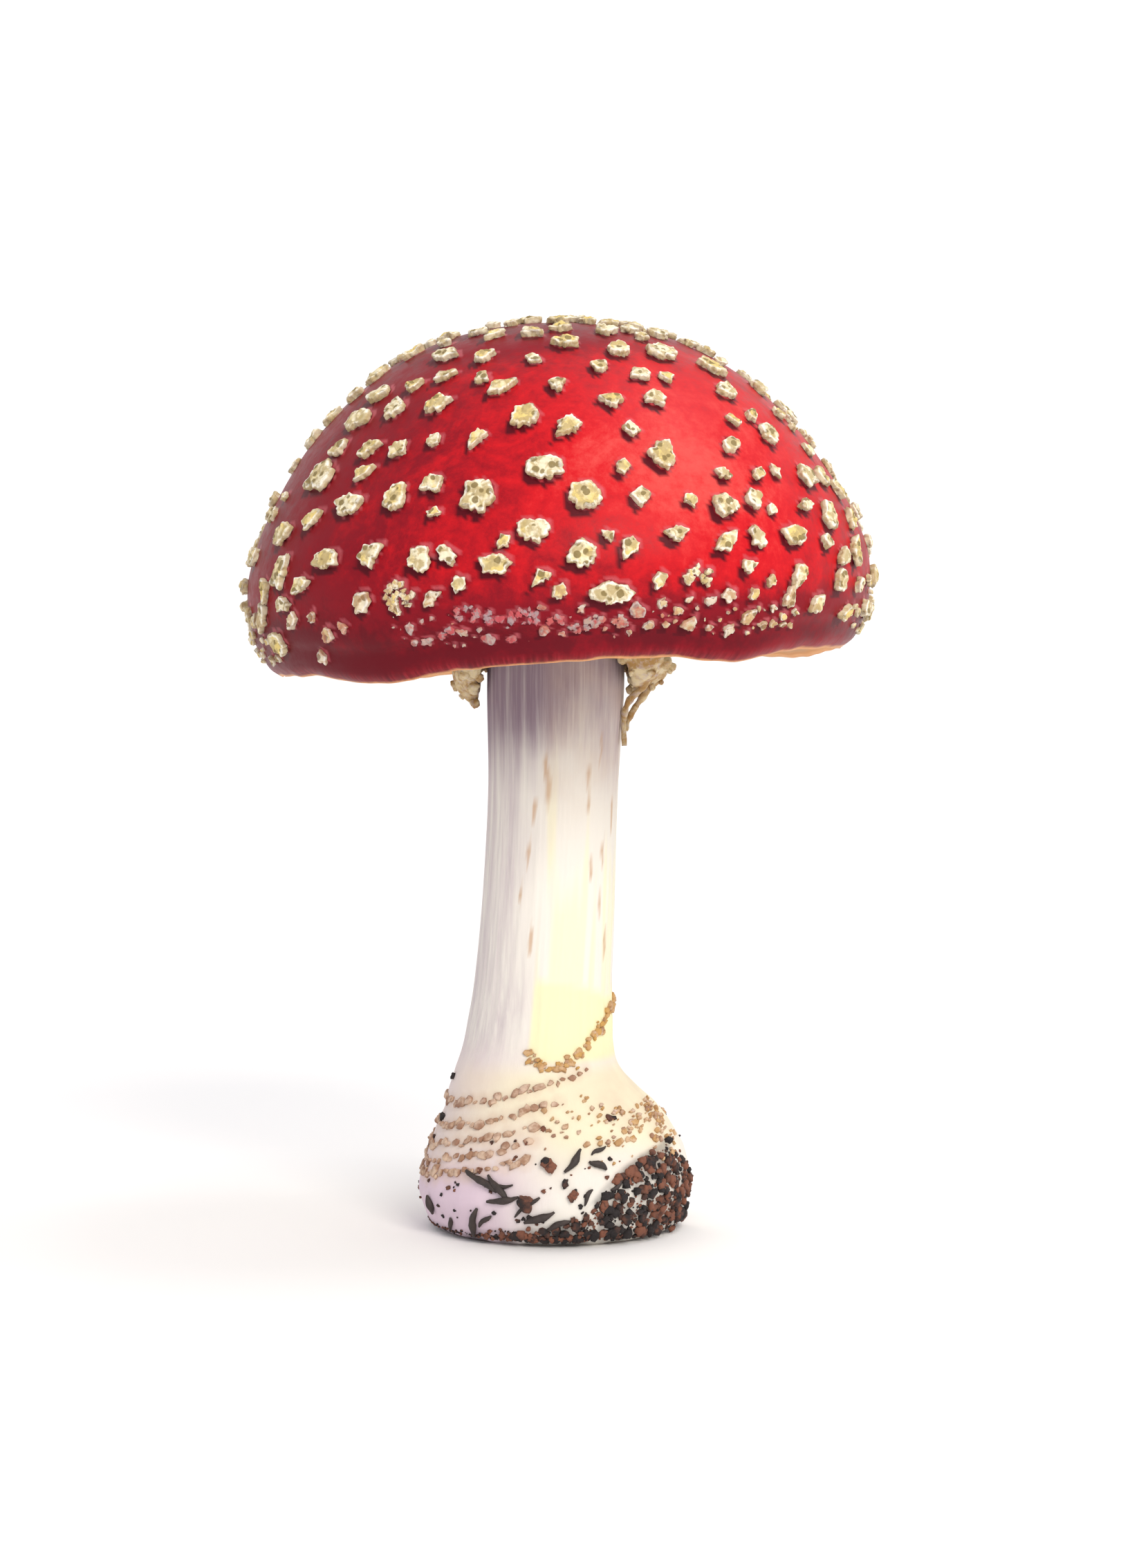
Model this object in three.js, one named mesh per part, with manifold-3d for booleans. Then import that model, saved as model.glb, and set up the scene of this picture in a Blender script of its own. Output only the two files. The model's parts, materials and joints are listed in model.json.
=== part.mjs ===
// A fly agaric mushroom (Amanita muscaria), picked whole and standing on the flat foot of its bulb.
//
// Millimetres, +Z up. The origin is the middle of the foot's flat face. A bearing is an angle in
// degrees round the upright axis: 0 is the front (-Y) and 90 is the right (+X).
import * as THREE from "three";
import { mergeVertices } from "three/addons/utils/BufferGeometryUtils.js";
import Module from "manifold-3d";

const wasm = await Module();
wasm.setup();

// ---------------------------------------------------------------- driving dimensions

const GAP = 0.3; // between pieces that touch
const RIM_HEIGHT = 98.6; // the cap's rim above the foot
const CAP_SHIFT = 1.3; // the cap sits a little to the right of the foot
const CAP_TILT = 3; // the right side of the cap is the higher one
const GILL_COUNT = 48;
const GILL_PLEAT = 3.2; // how far the cleft between two gills goes up
const GILL_END = 1; // the same, at the rim end of a gill
const GILL_RADII = [14.6, 46.8]; // the gills' inner and outer edge
const GILL_RIM = 4.4; // the top of the gills' outer edge, above the rim
const LOBE_FADE = [1, 12]; // the heights between which the rim's lobes die out
const RING_TOP = 8; // where the skirt leaves the stem, above the rim
const RING_WORN = [0.56, 0.38]; // the share of the skirt torn off at the front and at the back
const RING_HANG = 8; // the larger, the narrower the two parts of the skirt that still hang
const RING_FLARE = [0.85, 0.15]; // how far it flares, and how much more so on the right
const BAND_THICKNESS = 1.6; // the scaly bands round the bulb
const CRUST_THICKNESS = 1.2; // soil that clings to the bulb
const NEEDLE_WIDTH = 1.1;
const NEEDLE_LIFT = 1.1; // a needle's middle line off the bulb, beside the gap
const CLOD_HEIGHT = 2;
const CLOD_LIFT = 1.4;
const WART_HEIGHT = 1.7;
const WART_TAPER = 0.75; // a wart's top, as a share of its foot
const WART_SPREAD = 1.1; // corners stand out this much, so that the sides lie at the stated size
const WART_UNEVEN = [0.9, 0.2]; // a corner's least reach, and how much more it may have

// The bare skin of the cap, as [radius, height above the rim], from the rim to the crown.
const CAP_SKIN = [
  [48.7, 0.2],
  [51, 2],
  [52.9, 5],
  [53.7, 9],
  [54, 15],
  [53, 19.8],
  [50.5, 26],
  [46.5, 33],
  [42, 39.4],
  [36.2, 45.6],
  [30.5, 50.2],
  [24.2, 54],
  [13.5, 57.3],
  [0, 58.5],
];
// The flesh under the cap, from the stem's seat out to the rim.
const CAP_FLESH = [
  [14, 32],
  [24, 30.8],
  [34, 27],
  [41, 21],
  [45.4, 14],
  [47.6, 6],
  [47.9, 0.9],
];
// Where the rim hangs lower, as [bearing, depth, half its width in degrees].
const RIM_LOBES = [
  [-37, 2, 13],
  [34, 1.2, 10],
  [118, 1.4, 16],
  [214, 1.6, 18],
];
// The gills' free edge, from the stem out to the rim.
const GILL_EDGE = [
  [14.6, 19.5],
  [18, 17.2],
  [27, 15],
  [36, 11],
  [43, 6],
  [46.8, 2.4],
];
// The stem with its bulb, as [height, radius, how far its middle lies to the right].
const STEM = [
  [0, 20, 0],
  [1.6, 22.2, 0],
  [6.6, 23.7, -0.1],
  [10.3, 23.3, 0.2],
  [14, 22.4, 0.3],
  [17.6, 20.6, 0],
  [21.2, 18.4, -0.7],
  [24.8, 16.2, -2.2],
  [28.4, 14.2, -3.1],
  [32, 13.1, -2.9],
  [36, 12.6, -2.5],
  [43, 12, -2],
  [57, 11.6, -1.1],
  [76, 11.3, -0.3],
  [94, 11.9, 0.2],
  [110, 12.3, 0.2],
  [130.2, 13, -0.2],
];
// The skirt's section, as [radius, height over its top]: it flares, then curls back to the stem.
const RING = [
  [12.9, 0],
  [14.5, 0.2],
  [18.6, -4.5],
  [20.3, -8.8],
  [18.6, -12],
  [15.3, -13.8],
  [14.2, -12.6],
  [17, -9],
  [16, -5.6],
  [12.9, -2.6],
];
// The strand torn from the skirt's right side, as [radius, height over the skirt's top].
const STRAND = [
  [17.4, -10],
  [15.4, -13],
  [13.4, -15.8],
  [12.8, -19],
  [12.8, -22.8],
];
const STRAND_BEARING = 77;
const STRAND_WIDTH = 1.3;
// The bands of torn veil round the bulb, as [height at the front, rise to the right per
// millimetre, bend upwards per square millimetre, first bearing, last bearing].
const BANDS = [
  [26.2, 0.28, 0, -170, 40],
  [23.3, 0.3, 0, -160, 10],
  [21.1, 0.34, 0, -150, -9],
  [18.9, 0.34, 0, -165, -10],
  [16, 0.28, 0, -110, -13],
];
const COLLAR = [30.2, -0.54, 0.09, -10, 100]; // the torn edge of the veil at the bulb's neck
const SOIL_EDGE = [1.8, 0, 0, -86, -36]; // the line of soil along the foot, like a band
// The soil on the bulb's right side, as [across, height] from the blade's own middle.
const CRUST_OUTLINE = [
  [-22, 1.4],
  [16, 1.4],
  [15, 10],
  [7, 15.6],
  [0, 14.2],
  [-6, 11.6],
  [-9.5, 8],
  [-13, 4],
];
const CRUST_BEARING = 42;
// Lumps of soil, as [bearing, height, width].
const CLODS = [
  [-2.5, 14.2, 3.6],
  [-11.5, 8, 4.4],
  [7, 9.4, 2.6],
];
// Bits of needle and grass, as [first bearing, height, last bearing, height].
const NEEDLES = [
  [4, 12.9, 12, 16.4],
  [14.5, 14.4, 22, 13.3],
  [-29, 12.2, -20, 8.2],
  [-12, 4.4, 0, 6.6],
  [-64, 3.6, -64, 6.8],
];
// The large warts, as [bearing, share of the way from the crown to the rim, width, length].
const WARTS = [
  [-36, 0.32, 7, 3.4],
  [24, 0.34, 4.7, 4.6],
  [40, 0.35, 6.2, 5.4],
  [55, 0.39, 5.6, 5.4],
  [-53, 0.48, 7.4, 4.8],
  [-41, 0.47, 5.2, 4.8],
  [-28, 0.47, 5.6, 4.4],
  [49, 0.47, 6, 3.8],
  [-5.5, 0.52, 5.1, 4.8],
  [4, 0.55, 5, 4.3],
  [53, 0.57, 5.2, 4.6],
  [22.5, 0.62, 5.2, 5.8],
  [-54, 0.61, 8.6, 5.8],
  [-1, 0.63, 6.4, 4.6],
  [-30.5, 0.67, 5, 5.1],
  [-13.5, 0.68, 5.9, 6.2],
  [6, 0.69, 6, 5.6],
  [32, 0.72, 5, 4.6],
  [-41, 0.68, 6.2, 4.8],
  [-60, 0.72, 7.6, 4.2],
  [-3.5, 0.75, 6.3, 4.5],
  [46, 0.78, 6.6, 4.3],
  [-43.5, 0.78, 7.6, 4],
  [-23.5, 0.79, 4.5, 5.4],
  [-10, 0.81, 5.8, 4],
  [4.5, 0.8, 5.8, 4.5],
  [9, 0.87, 8.2, 3.6],
  [-61, 0.92, 6.6, 4.6],
  [86, 0.5, 5.6, 5],
  [100, 0.7, 6.4, 5.2],
  [118, 0.42, 5.2, 4.6],
  [130, 0.6, 5.8, 5.4],
  [148, 0.78, 6.6, 4.4],
  [160, 0.52, 5.4, 5],
  [178, 0.66, 6, 5.6],
  [196, 0.44, 5.6, 4.4],
  [208, 0.76, 6.4, 4.8],
  [224, 0.56, 5.6, 5.2],
  [246, 0.68, 6.2, 5],
  [268, 0.5, 5.4, 4.8],
];

// ---------------------------------------------------------------- shapes

const radians = THREE.MathUtils.degToRad;

// A smooth line through [x, y] points, as count + 1 points.
function smooth(points, count) {
  return curveThrough(points).getPoints(count);
}

function curveThrough(points) {
  return new THREE.SplineCurve(points.map(([x, y]) => new THREE.Vector2(x, y)));
}

// Points of [x, y] as they stand, joined by straight lines.
function straight(points) {
  return points.map(([x, y]) => new THREE.Vector2(x, y));
}

// A profile of (radius, height) points turned round the upright axis, bearing 0 first. The profile
// runs anticlockwise: from the underside outwards, then up.
function spun(profile, segments) {
  return new THREE.LatheGeometry(profile, segments).rotateX(Math.PI / 2);
}

// Moves each vertex by change(point, index), and drops the normals that no longer hold.
function moved(geometry, change) {
  const position = geometry.getAttribute("position");
  const point = new THREE.Vector3();
  for (let i = 0; i < position.count; i += 1) {
    point.fromBufferAttribute(position, i);
    change(point, i);
    position.setXYZ(i, point.x, point.y, point.z);
  }
  geometry.computeVertexNormals();
  return geometry;
}

function solidOf(geometry) {
  const bare = geometry.clone();
  bare.deleteAttribute("normal");
  bare.deleteAttribute("uv");
  const merged = mergeVertices(bare, 1e-4);
  return new wasm.Manifold(
    new wasm.Mesh({
      numProp: 3,
      vertProperties: merged.attributes.position.array,
      triVerts: new Uint32Array(merged.index.array),
    }),
  );
}

function geometryOf(solid) {
  const mesh = solid.getMesh();
  const geometry = new THREE.BufferGeometry();
  geometry.setAttribute("position", new THREE.BufferAttribute(mesh.vertProperties, 3));
  geometry.setIndex(new THREE.BufferAttribute(mesh.triVerts, 1));
  return geometry;
}

// The bearing of a point, from -180 to 180.
function bearingOf(point) {
  return THREE.MathUtils.radToDeg(Math.atan2(point.x, -point.y));
}

// A value between 0 and 1 that looks random and is the same each time.
function chance(seed) {
  const wild = Math.sin(seed * 12.9898) * 43758.5453;
  return wild - Math.floor(wild);
}

// The [radius, middle] of the stem at a height, between its stations.
function stemAt(height) {
  const next = Math.max(1, STEM.findIndex(([top]) => top >= height));
  const [low, high] = [STEM[next - 1], STEM[next]];
  const share = (height - low[0]) / (high[0] - low[0]);
  return [1, 2].map((column) => THREE.MathUtils.lerp(low[column], high[column], share));
}

// A point off the stem's surface by a distance, square to the surface.
function stemPoint(bearing, height, distance) {
  const [radius, middle] = stemAt(height);
  const [above] = stemAt(height + 0.5);
  const [below] = stemAt(height - 0.5);
  const slope = Math.atan(below - above);
  const reach = radius + distance * Math.cos(slope);
  const angle = radians(bearing);
  return new THREE.Vector3(
    middle + reach * Math.sin(angle),
    -reach * Math.cos(angle),
    height + distance * Math.sin(slope),
  );
}

// ---------------------------------------------------------------- materials

function flesh(colour, roughness) {
  return new THREE.MeshStandardMaterial({ color: colour, roughness, metalness: 0 });
}

const MATERIALS = {
  skin: flesh("#b3131d", 0.3),
  gills: flesh("#f3ead2", 0.7),
  stem: flesh("#efe6d8", 0.75),
  veil: flesh("#dcc793", 0.85),
  band: flesh("#b98f68", 0.85),
  soil: flesh("#41291f", 0.95),
};

function piece(name, geometry, material) {
  const mesh = new THREE.Mesh(geometry, MATERIALS[material]);
  mesh.name = name;
  return mesh;
}

// ---------------------------------------------------------------- the cap, its gills and its warts

const skin = curveThrough(CAP_SKIN);

function cap() {
  const seat = new THREE.Vector2(0, CAP_FLESH[0][1]);
  const profile = [seat, ...smooth(CAP_FLESH, 7), ...skin.getPoints(15)];
  const geometry = moved(spun(profile, 60), (point) => {
    for (const [bearing, depth, halfWidth] of RIM_LOBES) {
      const off = THREE.MathUtils.euclideanModulo(bearingOf(point) - bearing + 180, 360) - 180;
      const share = Math.exp(-((off / halfWidth) ** 2));
      point.z -= depth * share * (1 - THREE.MathUtils.smoothstep(point.z, ...LOBE_FADE));
    }
  });
  return piece("cap", geometry, "skin");
}

// A pleated ring that fills the space between the flesh and the gills' free edge. Every second
// spoke of its lower side goes up into a cleft.
function gills() {
  const roof = smooth(CAP_FLESH, 4).map(
    ({ x, y }) => new THREE.Vector2(THREE.MathUtils.clamp(x - GAP, ...GILL_RADII), y - 2 * GAP),
  );
  roof[roof.length - 1].y = GILL_RIM;
  const edge = smooth(GILL_EDGE, 4);
  const profile = [...edge, ...roof.reverse(), edge[0]];
  const geometry = spun(profile, 2 * GILL_COUNT);
  return piece(
    "gills",
    moved(geometry, (point, i) => {
      const along = i % profile.length;
      const spoke = Math.floor(i / profile.length);
      const free = along < edge.length || along === profile.length - 1;
      if (free && spoke % 2 === 1) point.z += along === edge.length - 1 ? GILL_END : GILL_PLEAT;
    }),
    "gills",
  );
}

// One patch of veil: a low block with five to seven uneven sides that lies flat on the skin.
function wart([bearing, down, width, length], index) {
  const sides = 5 + (index % 3);
  const foot = WART_SPREAD / 2;
  const block = new THREE.CylinderGeometry(WART_TAPER * foot, foot, WART_HEIGHT, sides)
    .rotateX(Math.PI / 2)
    .rotateZ(chance(index) * Math.PI);
  moved(block, (point) => {
    const corner = Math.round((Math.atan2(point.y, point.x) / Math.PI) * 20);
    const uneven = WART_UNEVEN[0] + WART_UNEVEN[1] * chance(corner + index);
    point.set(point.x * uneven * width, point.y * uneven * length, point.z);
  });
  const { x: radius, y: height } = skin.getPointAt(1 - down);
  const tangent = skin.getTangentAt(1 - down);
  const angle = radians(bearing);
  const outward = new THREE.Vector3(Math.sin(angle), -Math.cos(angle), 0);
  const east = new THREE.Vector3(Math.cos(angle), Math.sin(angle), 0);
  const north = outward.clone().multiplyScalar(tangent.x).setZ(tangent.y);
  const normal = east.clone().cross(north);
  const mesh = piece(`wart_${String(index + 1).padStart(2, "0")}`, block, "veil");
  mesh.quaternion.setFromRotationMatrix(new THREE.Matrix4().makeBasis(east, north, normal));
  mesh.position
    .copy(outward.multiplyScalar(radius).setZ(height))
    .addScaledVector(normal, WART_HEIGHT / 2 + GAP);
  return mesh;
}

// ---------------------------------------------------------------- the stem and what clings to it

// The top of the stem leans with the cap that it carries.
function stem() {
  const top = STEM[STEM.length - 1][0];
  const profile = [
    new THREE.Vector2(0, 0),
    ...straight(STEM.map(([height, radius]) => [radius, height])),
    new THREE.Vector2(0, top),
  ];
  const geometry = spun(profile, 36);
  return piece(
    "stem",
    moved(geometry, (point) => {
      const lean = THREE.MathUtils.smoothstep(point.z, RIM_HEIGHT + RING_TOP + 2, top);
      const [, middle] = stemAt(point.z);
      point.z += lean * point.x * Math.tan(radians(CAP_TILT));
      point.x += middle;
    }),
    "stem",
  );
}

// The skirt: it hangs lowest on the left and the right, and is torn short at the front.
function ring() {
  const profile = straight([...RING, RING[0]]).reverse();
  const skirt = moved(spun(profile, 40), (point) => {
    const angle = radians(bearingOf(point));
    const worn = RING_WORN[Math.cos(angle) > 0 ? 0 : 1] * (1 - Math.sin(angle) ** RING_HANG);
    const ragged = 0.06 * Math.sin(7 * angle) + 0.04 * Math.sin(11 * angle + 1);
    const flare = RING_FLARE[0] + RING_FLARE[1] * Math.sin(angle);
    const radius = Math.hypot(point.x, point.y);
    const reach = THREE.MathUtils.lerp(RING[0][0], radius, flare);
    point.x *= reach / radius;
    point.y *= reach / radius;
    point.z *= 1 - worn + ragged;
  });
  const angle = radians(STRAND_BEARING);
  const path = STRAND.map(
    ([radius, height]) =>
      new THREE.Vector3(radius * Math.sin(angle), -radius * Math.cos(angle), height),
  );
  const strand = rope(path, STRAND_WIDTH, 10);
  const whole = geometryOf(solidOf(skirt).add(solidOf(strand)));
  return piece("ring", whole.translate(0, 0, RIM_HEIGHT + RING_TOP), "veil");
}

function rope(path, width, steps) {
  const section = new THREE.Shape().absarc(0, 0, width / 2, 0, 2 * Math.PI);
  return new THREE.ExtrudeGeometry(section, {
    steps,
    curveSegments: 2,
    bevelEnabled: false,
    extrudePath: new THREE.CatmullRomCurve3(path),
  });
}

// A rope-like ridge that follows the bulb from one bearing to another, rising to the right.
function band(name, [height, rise, bend, first, last], material) {
  const steps = Math.round((last - first) / 20);
  const path = [];
  for (let i = 0; i <= steps; i += 1) {
    const bearing = THREE.MathUtils.lerp(first, last, i / steps);
    const across = stemAt(height)[0] * Math.sin(radians(bearing));
    const climb = rise * across + bend * across ** 2;
    path.push(stemPoint(bearing, height + climb, BAND_THICKNESS / 2 + GAP + 0.15));
  }
  return piece(name, rope(path, BAND_THICKNESS, 2 * steps), material);
}

// A skin of soil: the layer just off the bulb, kept where a blade-shaped prism from the front right
// passes through it.
function crust() {
  const layer = (distance) => {
    const rows = [0.6, 1.6, 3, 6.6, 9, 12, 15, 18].map((height) => {
      const point = stemPoint(90, height, distance);
      const [, middle] = stemAt(height);
      return new THREE.Vector2(point.x - middle, point.z);
    });
    const [low, high] = [rows[0], rows[rows.length - 1]];
    const profile = [new THREE.Vector2(0, low.y), ...rows, new THREE.Vector2(0, high.y)];
    return solidOf(spun(profile, 36));
  };
  const outline = new THREE.Shape(straight(CRUST_OUTLINE));
  const blade = new THREE.ExtrudeGeometry(outline, { depth: 40, bevelEnabled: false })
    .rotateX(Math.PI / 2)
    .rotateZ(radians(CRUST_BEARING));
  const shell = layer(GAP + CRUST_THICKNESS).subtract(layer(GAP + 0.25));
  return piece("soil_crust", geometryOf(shell.intersect(solidOf(blade))), "soil");
}

function clod([bearing, height, width], index) {
  const lump = new THREE.IcosahedronGeometry(0.5, 1);
  lump.scale(width, width * 0.8, CLOD_HEIGHT);
  const mesh = piece(`soil_clod_${index + 1}`, lump, "soil");
  mesh.position.copy(stemPoint(bearing, height, CLOD_LIFT + GAP));
  mesh.lookAt(stemPoint(bearing, height, 20));
  return mesh;
}

function needle([first, low, last, high], index) {
  const path = [0, 0.5, 1].map((share) =>
    stemPoint(
      THREE.MathUtils.lerp(first, last, share),
      THREE.MathUtils.lerp(low, high, share),
      NEEDLE_LIFT + GAP,
    ),
  );
  return piece(`needle_${index + 1}`, rope(path, NEEDLE_WIDTH, 5), "soil");
}

// ---------------------------------------------------------------- the whole mushroom

const head = new THREE.Group();
head.position.set(CAP_SHIFT, 0, RIM_HEIGHT);
head.rotation.y = -radians(CAP_TILT);
head.add(cap(), gills(), ...WARTS.map(wart));

const mushroom = new THREE.Group();
mushroom.add(head, stem(), ring());
mushroom.add(...BANDS.map((row, i) => band(`veil_band_${i + 1}`, row, "band")));
mushroom.add(band("veil_collar", COLLAR, "band"), band("soil_edge", SOIL_EDGE, "soil"));
mushroom.add(crust(), ...CLODS.map(clod), ...NEEDLES.map(needle));

export default mushroom;
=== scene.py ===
"""A fly agaric mushroom, Amanita muscaria, picked whole: its finished surfaces, built round the
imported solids.

Everything is in the solids' own frame, in metres: +Z is up, the front faces -Y, and the origin is
the middle of the foot. A bearing is an angle in degrees round the upright axis: 0 is the front and
90 is the right (+X). A place on the cap is a bearing and a share of the way down the skin, 0 at the
crown and 1 at the rim.
"""

import json
import math
import random

import bmesh
import bpy
from mathutils import Color, Matrix, Vector, noise
from mathutils.bvhtree import BVHTree

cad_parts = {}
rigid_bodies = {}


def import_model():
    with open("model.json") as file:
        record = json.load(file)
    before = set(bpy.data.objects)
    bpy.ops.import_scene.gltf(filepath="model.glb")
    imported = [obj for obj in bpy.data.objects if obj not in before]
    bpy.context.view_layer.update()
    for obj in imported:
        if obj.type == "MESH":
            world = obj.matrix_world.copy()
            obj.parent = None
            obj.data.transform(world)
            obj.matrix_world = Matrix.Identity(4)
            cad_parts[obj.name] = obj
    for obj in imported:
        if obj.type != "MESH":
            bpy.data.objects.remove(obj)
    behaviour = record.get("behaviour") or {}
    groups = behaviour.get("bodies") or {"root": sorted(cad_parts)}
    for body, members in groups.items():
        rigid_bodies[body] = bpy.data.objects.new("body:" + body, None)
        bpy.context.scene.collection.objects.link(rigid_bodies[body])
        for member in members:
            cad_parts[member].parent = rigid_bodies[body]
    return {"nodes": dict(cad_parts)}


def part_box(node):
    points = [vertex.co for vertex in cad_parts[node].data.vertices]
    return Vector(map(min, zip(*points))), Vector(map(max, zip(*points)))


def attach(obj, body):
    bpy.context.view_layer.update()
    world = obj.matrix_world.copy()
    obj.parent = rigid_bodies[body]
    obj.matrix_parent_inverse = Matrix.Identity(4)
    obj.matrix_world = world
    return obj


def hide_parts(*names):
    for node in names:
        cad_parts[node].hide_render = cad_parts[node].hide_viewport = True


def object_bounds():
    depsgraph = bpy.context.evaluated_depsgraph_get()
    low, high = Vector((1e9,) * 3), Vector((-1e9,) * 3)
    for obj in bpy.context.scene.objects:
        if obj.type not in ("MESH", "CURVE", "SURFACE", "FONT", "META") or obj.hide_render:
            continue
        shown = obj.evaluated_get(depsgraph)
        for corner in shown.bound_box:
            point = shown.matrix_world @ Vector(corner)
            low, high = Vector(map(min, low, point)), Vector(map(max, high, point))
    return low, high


bl_info = {
    "name": "Fly agaric mushroom",
    "version": (1, 0, 0),
    "blender": (4, 5, 0),
    "location": "View3D > Sidebar > Mushroom",
    "description": "Grows a fly agaric: cap, gills, warts, ring, stem, veil bands and clinging soil",
    "category": "Add Mesh",
}

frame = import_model()
solid_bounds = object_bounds()
# How far right of the origin the bulb's middle lies.
bulb_middle = Vector((sum(corner.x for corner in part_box("stem")) / 2, 0, 0))

MM = 0.001  # lengths below are written in millimetres

# The bare skin of the cap, from the crown to the rim, as (radius, height above the rim).
CAP_SKIN = [
    (0, 58.5), (13.5, 57.3), (24.2, 54), (30.5, 50.2), (36.2, 45.6), (42, 39.4), (46.5, 33),
    (50.5, 26), (53, 19.8), (54, 15), (53.7, 9), (52.9, 5), (51, 2), (48.7, 0.2),
]
# The flesh under it, from the rim back to the stem.
CAP_FLESH = [(47.9, 0.9), (47.6, 6), (45.4, 14), (41, 21), (34, 27), (24, 30.8), (14, 32), (0, 32)]
# The free edge of a gill, from the rim to the stem, and of the short gills between them.
GILL_EDGE = [(46.9, 2.2), (43, 6), (36, 11), (27, 15), (18, 17.2), (14.8, 20)]
SHORT_GILL_EDGE = [(46.9, 2.6), (43.5, 7), (39, 12), (34.5, 18), (31, 25)]
# How many steps each spun surface has round the axis.
CAP_STEPS, STEM_STEPS, RING_STEPS = 480, 240, 260
# Where the rim hangs lower, as (bearing, depth, half its width in degrees).
RIM_LOBES = [(-37, 2, 13), (34, 1.2, 10), (118, 1.4, 16), (-146, 1.6, 18)]
# The skirt's section, as (radius, height over its top): it flares, then curls back to the stem.
RING = [
    (12.4, 0.3), (14.5, 0.2), (18.6, -4.5), (20.3, -8.8), (18.6, -12), (15.3, -13.8), (14.2, -12.6),
    (17, -9), (16, -5.6), (12.4, -2.6),
]
# The shares of the skirt that are torn off at the front and the back, and its number of pleats.
RING_WORN_FRONT, RING_WORN_BACK, RING_PLEATS = 0.56, 0.38, 19
# The threads torn from the skirt: a bearing, and (radius, height over the skirt's top) along each.
RING_THREADS = [
    (76, [(17, -10.5), (15.6, -12.6), (13.8, -14.2), (12.7, -16.2), (12.4, -19), (12.5, -22.6)]),
    (84, [(17.2, -11), (15.8, -13.6), (14.2, -15.8), (13, -18), (12.4, -20)]),
]
# Patches of veil too small to have a solid, as (bearing, share down, width, length).
SMALL_PATCHES = [
    # the upper shoulder
    (-20, 0.34, 4.8, 3), (-4, 0.36, 2.6, 4), (6.5, 0.3, 4.6, 4.8), (15, 0.39, 3.3, 3.5),
    (25, 0.42, 3.9, 3.2), (32, 0.43, 3.3, 2.8), (-29, 0.39, 4.4, 2.6), (-18, 0.41, 3.6, 3.1),
    (-11.5, 0.44, 5.6, 3.4), (2.5, 0.44, 3.8, 3.8), (-39, 0.41, 4.2, 2.4), (-52, 0.42, 6.1, 2.6),
    (25, 0.49, 4.6, 4.5), (14.5, 0.49, 3.9, 3.5), (17, 0.56, 3.2, 3.1), (43, 0.54, 3, 3.5),
    # the middle
    (50.5, 0.53, 3.6, 3.3), (-53, 0.55, 4.2, 2.6), (-42, 0.56, 5.4, 3.4), (-33, 0.57, 4.3, 3.8),
    (-25, 0.56, 3, 2.5), (-14.5, 0.56, 4.9, 3.6), (38.5, 0.6, 3.9, 3.4), (-40.5, 0.62, 5.2, 3.2),
    (13.5, 0.64, 3.3, 3.4), (34, 0.66, 3.6, 2.4), (42.5, 0.66, 3.8, 3.4), (48, 0.65, 2.5, 3.2),
    (58.5, 0.66, 7, 4), (-23, 0.65, 3.8, 3.8), (16, 0.7, 4.2, 3.8), (25, 0.71, 2.6, 2.1),
    (39, 0.71, 3.7, 3.2), (52.5, 0.72, 5.4, 2.9), (-21.5, 0.71, 2.8, 3.5), (42.5, 0.73, 2.8, 2.1),
    (-50.5, 0.7, 5.9, 3.6), (60.5, 0.74, 6.4, 4.5), (9, 0.77, 3, 3.1), (12.5, 0.79, 4.6, 3.7),
    (21, 0.77, 5.1, 3.2), (37, 0.78, 3.4, 3.9), (30, 0.79, 6, 2.6), (56, 0.79, 4.6, 3.2),
    (-8.5, 0.77, 3.2, 1.9), (-33.5, 0.78, 6.3, 3.5), (-18.5, 0.79, 3, 3.3), (-2.5, 0.83, 4.9, 3),
    # above the rim
    (34, 0.83, 3.8, 3), (61.5, 0.82, 5.1, 2.8), (46, 0.85, 7, 1.9), (-57, 0.79, 6.4, 3.5),
    (-64, 0.82, 5.6, 3.5), (-50, 0.82, 4.7, 2.9), (-16.5, 0.84, 3.1, 2.6), (-21.5, 0.86, 3.6, 2.3),
    (-35.5, 0.86, 4.7, 3.2), (0.5, 0.86, 3.3, 2.6), (17.5, 0.85, 3.9, 2.5), (30, 0.88, 3, 2.1),
    (35, 0.88, 3.3, 2.1), (39, 0.86, 2.6, 1.9), (43.5, 0.89, 4.3, 2.2), (51.5, 0.9, 5.6, 2.6),
    (60, 0.86, 5.4, 3.5), (63, 0.92, 6.6, 4.2), (-67, 0.87, 6.4, 3.2), (-56.5, 0.85, 4.3, 2.4),
    (-54, 0.88, 4.2, 2.6), (-48, 0.88, 2.8, 1.9), (-44.5, 0.91, 3.7, 2.4), (-40.5, 0.9, 2.6, 2.7),
    (-48.5, 0.95, 3.1, 3.1), (15.5, 0.93, 2.2, 2.8), (23, 0.93, 3.3, 2.7), (30.5, 0.94, 3.6, 1.9),
    (34, 0.92, 4.1, 2),
]
# Patches that have fallen into crumbs, as (bearing, share down, width, length, number of crumbs).
BROKEN_PATCHES = [
    (-27.5, 0.856, 5, 4.9, 16), (24, 0.848, 4.8, 3.8, 16), (-15.5, 0.89, 4, 2.4, 8),
    (-11, 0.9, 3, 2.2, 6), (-6, 0.9, 5, 2.5, 10), (-20, 0.92, 3, 1.9, 6), (-0.5, 0.91, 2.6, 2.2, 6),
    (3.5, 0.93, 2.8, 2.2, 6), (6.5, 0.915, 3.2, 2, 7), (10, 0.92, 3, 1.9, 6),
]
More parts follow.
